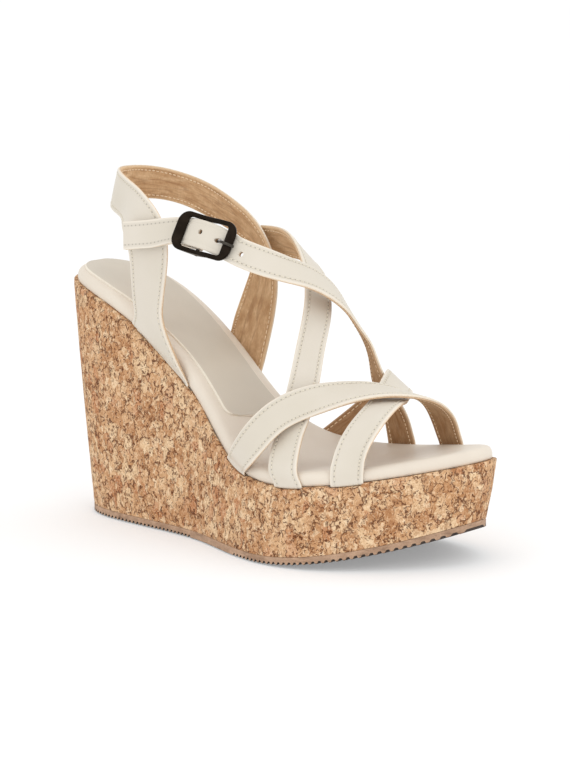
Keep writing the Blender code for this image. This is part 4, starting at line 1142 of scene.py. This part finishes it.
def make_outsole(material, shaded_rubber):
    """Rubber sole: fine cross teeth at heel and forefoot, smooth arch, a lip at the top; a darker
    rubber on the underside is painted shade.
    """
    ring = sample_at(FOOT_OUTLINE, paired_samples(FOOT_OUTLINE, 400))
    half = len(ring) // 2
    low, high = ring[0][0], ring[half][0]
    step = TOOTH_PITCH / 10
    xs = [low + (high - low) * t for t in (1 - np.cos(np.linspace(0, 0.35, 8))) / 2]
    xs += list(np.arange(xs[-1] + step, high - 1.0, step))
    xs += list(high - (high - low) * (1 - np.cos(np.linspace(0.13, 0, 5))) / 2)
    xs = np.array(xs)
    teeth = smooth_step((0.5 + 0.5 * np.cos(2 * math.pi * xs / TOOTH_PITCH)) * 1.5 - 0.25)
    tread = (smooth_step((HEEL_TEETH_END_X - xs) / TREAD_EASE)
             + smooth_step((xs - FRONT_TEETH_START_X) / TREAD_EASE))
    depth = TOOTH_DEPTH * teeth * tread
    spring = np.array([wedge_foot(x) for x in xs]) - OUTSOLE_THICK - GAP
    y_out = np.interp(xs, *ring[:half + 1].T)
    y_in = np.interp(xs, *np.vstack([ring[:1], ring[:half - 1:-1]]).T)
    room = (y_in - y_out) / 2
    foot = spring + depth
    walls = ((0.55, 0.0), (0.90, -0.02), (0.97, 0.10), (1.0, 0.4), (1.0, 3.0))
    levels = [(foot, 2.2), (foot, 0.30), (foot + 0.2, 0.0), (spring + WALL_FROM, 0.0)]
    levels += [(foot + (OUTSOLE_THICK + GAP - 0.05 - depth) * t, inset) for t, inset in walls]
    rings = []
    for z, inset in levels:
        shift = np.minimum(inset, room * 0.8)
        line_out = np.column_stack([xs, y_out + shift, z])
        line_in = np.column_stack([xs, y_in - shift, z])
        ends = (line_out + line_in) / 2
        rings.append([ends[0], *line_out[1:-1], ends[-1], *line_in[-2:0:-1]])
    count = len(rings[0])
    points, faces = ring_surface(rings)
    half = count // 2
    for base, flip in ((0, 1), ((len(rings) - 1) * count, -1)):
        for k in range(half):
            a, b = base + k, base + k + 1
            c, d = base + (count - k - 1) % count, base + (count - k) % count
            face = (a, b, c) if not k else (a, b, d) if k == half - 1 else (a, b, c, d)
            faces.append(face[::flip])
    # painted shade: the underside, its rounded lower edge and the bottom cap take the dark rubber,
    # so the gaps between the teeth read dark
    under, walls = [1] * (2 * count), [0] * ((len(rings) - 3) * count)
    sole = build("outsole_rubber", points, faces, [material, shaded_rubber],
                 under + walls + [1] * half + [0] * half, angle=35)
    place(sole, "sandal", "brown_rubber", "outsole")


# ---- insole -----------------------------------------------------------------------------
def footbed_dish(x, y):
    """Shallow hollow of the padded insole, deepest under the heel and the ball."""
    width = (side_y(x, 1) - side_y(x, -1)) / 2
    middle = (side_y(x, 1) + side_y(x, -1)) / 2
    t = min(1.0, abs(y - middle) / max(width - 7.0, 5.0))
    heel = math.exp(-((x - 32) / 30) ** 2)
    ball = math.exp(-((x - 158) / 34) ** 2)
    toe_x = float(TOP_OUTLINE[:, 0].max())
    ends = smooth_step((min(x, toe_x - x) - 6.3) / 12.0)
    return (0.75 * heel + 0.55 * ball) * (1 - t * t) ** 2 * ends


def padding_wave(x, y):
    return 0.14 * float(wave((x, y, 0.0), 9.0, 11))


def on_padding(x, y, above=0.0):
    """Point `above` the padding's top, over x and y of the plan."""
    seat = COVER_TOP + 0.02 - footbed_dish(x, y) + padding_wave(x, y)
    up = on_wedge(x, y, 1.0) - on_wedge(x, y)
    return on_wedge(x - seat * up[0], y, seat + above)


def make_cover(material):
    """Padded cover: turned under the board, full round rim, softly dished top."""
    shape = ((MARGIN, 0.3), (2.2, 0.12), (0.7, 0.12), (0.18, 0.4), (-0.04, 1.2), (-0.15, 2.7),
             (0.02, 3.9), (0.42, 4.8), (1.1, 5.5), (2.1, 5.92), (3.3, 6.08), (4.6, 6.12))
    rings = []
    for inset, height in shape:
        outline = inset_outline(TOP_OUTLINE, RIM_INSET + inset)
        soft = float(np.clip((height - 2) / 3, 0, 1))
        rings.append([on_wedge(x, y, height + soft * padding_wave(x, y))
                      for x, y in sample_at(outline, paired_samples(outline, 200))])
    points, faces = ring_surface(rings, 22, lambda p: on_padding(float(p[0]), float(p[1])))
    cover = build("insole_padding", points, faces, [material], angle=70)
    bake(cover, "SOLIDIFY", thickness=COVER_THICK * MM, offset=-1.0)
    place(cover, "sandal", "cream_insole", "insole_cover")


def make_liner(material, edge):
    """Sock liner: heel to arch, round corners, slightly curved front edge, thin cut edge; the
    light edge colour also runs onto the top near the edges as a painted highlight.
    """
    start = 5.6
    corner_x = LINER_END_X - LINER_CORNER
    xs = [*(start + 9 * (1 - np.cos(np.linspace(0, math.pi / 2, 26)))),
          *np.linspace(15, corner_x, 64),
          *(corner_x + LINER_CORNER * np.sin(np.linspace(0.1, 1.5, 12)))]
    ring = inset_outline(TOP_OUTLINE, 5.4)
    tip = int(ring[:, 0].argmax())
    margins = (0, 0.25, 0.7, 1.3, 2.2)
    upper, lower = [], []
    for x in xs:
        trim = LINER_CORNER - math.sqrt(max(0.0, LINER_CORNER ** 2 - max(0.0, x - corner_x) ** 2))
        near = smooth_step((x - 14.6) / 12.0)
        inset = np.interp(x, (0, 45, 107), (5.0, 6.5, 9.3))
        y_out, y_in = (np.interp(x, *line.T) * (1 - near)
                       + (side_y(x, side) - side * inset) * near - side * trim
                       for side, line in ((-1, ring[:tip]), (1, ring[:tip:-1])))
        half = max((y_in - y_out) / 2, 0.4)
        middle = (y_in + y_out) / 2
        bulge = 2.0 * smooth_step((x - 60) / (LINER_END_X - 60))
        ins = [min(c, half * 0.9 * c / margins[-1]) for c in margins]
        for y in [*(y_out + c for c in ins),
                  *np.linspace(y_out + ins[-1], y_in - ins[-1], 17)[1:-1],
                  *(y_in - c for c in ins[::-1])]:
            t = (y - middle) / half
            rim = min(y - y_out, y_in - y, (x - start) * 1.2 + 0.02, LINER_END_X - x + 0.02)
            top = LINER_THICK * (0.55 + 0.45 * smooth_step(rim / 0.45))
            press = -0.10 * math.exp(-((rim - 1.6) / 0.28) ** 2)
            bulged = x + bulge * (1 - t * t)
            upper.append(on_padding(bulged, y, top + press))
            lower.append(on_padding(bulged, y, -0.1))
    total, rows = len(upper), len(xs)
    columns = total // rows
    faces, slots = [], []
    for i in range(rows - 1):
        for j in range(columns - 1):
            a = i * columns + j
            quad = (a, a + columns, a + columns + 1, a + 1)
            faces += [quad, tuple(total + k for k in quad[::-1])]
            # painted highlight: top faces within about 0.7 mm of the sides, and the last rows at
            # the front, take the light edge colour
            slots += [int(min(j, columns - 2 - j) < 2 or i >= rows - 3), 0]
    border = [*range(columns), *range(2 * columns - 1, total, columns),
              *range(total - 2, total - columns - 1, -1),
              *range(total - 2 * columns, 0, -columns)]
    for a, b in zip(border, border[1:] + border[:1]):
        faces.append((a, b, total + b, total + a))
        slots.append(1)
    liner = build("sock_liner_sheet", upper + lower, faces, [material, edge], slots, angle=50)
    place(liner, "sandal", "cream_liner", "sock_liner")


# ---- the sandal -------------------------------------------------------------------------
def make_sandal():
    cream = srgb(218, 210, 197), srgb(211, 203, 188)
    leather = leather_look("cream leatherette", *cream)
    suede = suede_look("tan suede", 1.0)
    # painted shade: a darker copy of the tan suede for the toe, vamp and buckle straps' linings,
    # which sit in shade
    shaded_suede = suede_look("shaded tan suede", 0.60)
    edge = edge_look("cut edge", srgb(236, 224, 205), srgb(220, 198, 172))
    raw = edge_look("lining edge", srgb(224, 194, 160), srgb(186, 148, 112))
    thread = thread_look("cream thread", srgb(230, 222, 204))
    rest = edge, raw, leather_look("plain leatherette", *cream, False), thread, \
        thread_look("tan thread", srgb(240, 216, 182))
    looks, toe_looks = (leather, suede, *rest), (leather, shaded_suede, *rest)

    heel = Strap(HEEL_STRAP, HEEL_STRAP_ENDS, facing_at_heel)
    make_strap("heel_strap", heel, looks)
    make_strap("vamp_strap", Strap(VAMP_STRAP, VAMP_STRAP_ENDS), toe_looks)
    make_strap("toe_strap", Strap(TOE_STRAP, TOE_STRAP_ENDS), toe_looks)
    make_strap("instep_strap", Strap(INSTEP_STRAP, INSTEP_STRAP_ENDS), looks)
    threaded = [(*at_buckle(*p), STRAP_AT_BUCKLE) for p in THREADED]
    buckled = Strap([*threaded, *BUCKLE_STRAP], BUCKLE_STRAP_ENDS, facing_at_buckle)
    punch_holes(make_strap("buckle_strap", buckled, toe_looks, PLAIN_TIP))
    make_tab(heel, leather, edge, thread)

    make_frame(metal_look("dark bronze", srgb(33, 27, 22), 0.32, srgb(47, 39, 32)))
    make_bar(metal_look("steel bar", srgb(50, 45, 40), 0.35, srgb(74, 68, 62)))
    make_prong(metal_look("gunmetal", srgb(70, 66, 60), 0.22, srgb(112, 106, 98)))

    make_cork(cork_look())
    # the second, darker rubber is painted shade on the sole's underside
    make_outsole(rubber_look("brown rubber", srgb(160, 128, 104), srgb(194, 161, 134)),
                 rubber_look("shaded tread rubber", srgb(56, 46, 40), srgb(74, 62, 54)))
    make_cover(leather_look("insole leatherette", srgb(227, 217, 202), srgb(220, 209, 194), False))
    # the liner's edge colour is the cut edge's own and, on the top faces by the rim, painted
    # highlight
    make_liner(leather_look("sock leatherette", srgb(208, 199, 184), srgb(200, 191, 176), False),
               edge_look("liner edge and highlight", srgb(236, 228, 214), srgb(224, 214, 197)))

    steel = plain_look("steel", (0.4, 0.4, 0.41), 0.4)
    inner = {"wedge_core": plain_look("core plastic", (0.25, 0.22, 0.18), 0.6),
             "insole_board": plain_look("fibre board", (0.33, 0.27, 0.2), 0.9),
             "footbed_foam": plain_look("foam", (0.75, 0.72, 0.66), 0.95, 1600),
             "shank": steel, "wedge_screw": steel}
    for name, thing in frame["nodes"].items():
        for start, material in inner.items():
            if name.startswith(start):
                thing.data.materials.clear()
                thing.data.materials.append(material)


def add_light(name, position, height, size, power, colour=(1, 1, 1)):
    """Square soft light, aimed at a height over the origin."""
    light = bpy.data.lights.new(name, "AREA")
    light.shape = "RECTANGLE"
    light.size = light.size_y = size
    light.energy = power
    light.color = colour
    thing = link(name, light)
    thing.location = position
    direction = Vector((0, 0, height)) - Vector(position)
    thing.rotation_euler = direction.to_track_quat("-Z", "Y").to_euler()


def make_stage():
    """Pale floor, white surroundings and soft lights."""
    floor_look = Look("pale floor", (0.72, 0.72, 0.72), 1.0, Specular_IOR_Level=0.0,
                      Emission_Color=(1, 1, 1, 1), Emission_Strength=0.27)
    bpy.ops.mesh.primitive_plane_add(size=400.0, location=(0, 0, cad_box[0].z - 0.0004))
    floor = bpy.context.object
    floor.name = "floor"
    floor.data.materials.append(floor_look.material)
    surround = bpy.data.worlds.new("studio")
    surround.use_nodes = True
    surround.node_tree.nodes["Background"].inputs["Color"].default_value = (1, 1, 1, 1)
    surround.node_tree.nodes["Background"].inputs["Strength"].default_value = 1.04
    bpy.context.scene.world = surround
    add_light("key", (-0.25, -0.75, 0.75), 0.06, 0.6, 0.45, (1.0, 0.985, 0.96))
    add_light("fill", (0.8, -0.35, 0.40), 0.06, 0.7, 1.15)
    add_light("top", (0.0, 0.15, 0.9), 0.05, 0.8, 0.4)
    bpy.context.scene.view_settings.view_transform = "Standard"


def make_camera():
    """The camera stands outside and ahead of the heel, a little above the sandal."""
    turn, rise, roll = CAMERA_TURN, CAMERA_RISE, CAMERA_ROLL
    right = np.array((math.cos(turn), math.sin(turn), 0.0))
    up = np.array((-math.sin(turn) * math.sin(rise), math.cos(turn) * math.sin(rise),
                   math.cos(rise)))
    back = np.cross(right, up)
    data = bpy.data.cameras.new("camera")
    data.lens = CAMERA_LENS
    data.shift_x, data.shift_y = CAMERA_SHIFT
    data.clip_start, data.clip_end = 0.05, 50.0
    camera = link("camera", data)
    axes = Matrix([right * math.cos(roll) + up * math.sin(roll),
                   up * math.cos(roll) - right * math.sin(roll), back]).transposed().to_4x4()
    camera.matrix_world = Matrix.Translation(world(CAMERA_TARGET + back * CAMERA_DISTANCE)) @ axes
    bpy.context.scene.camera = camera


make_camera()
make_sandal()
make_stage()
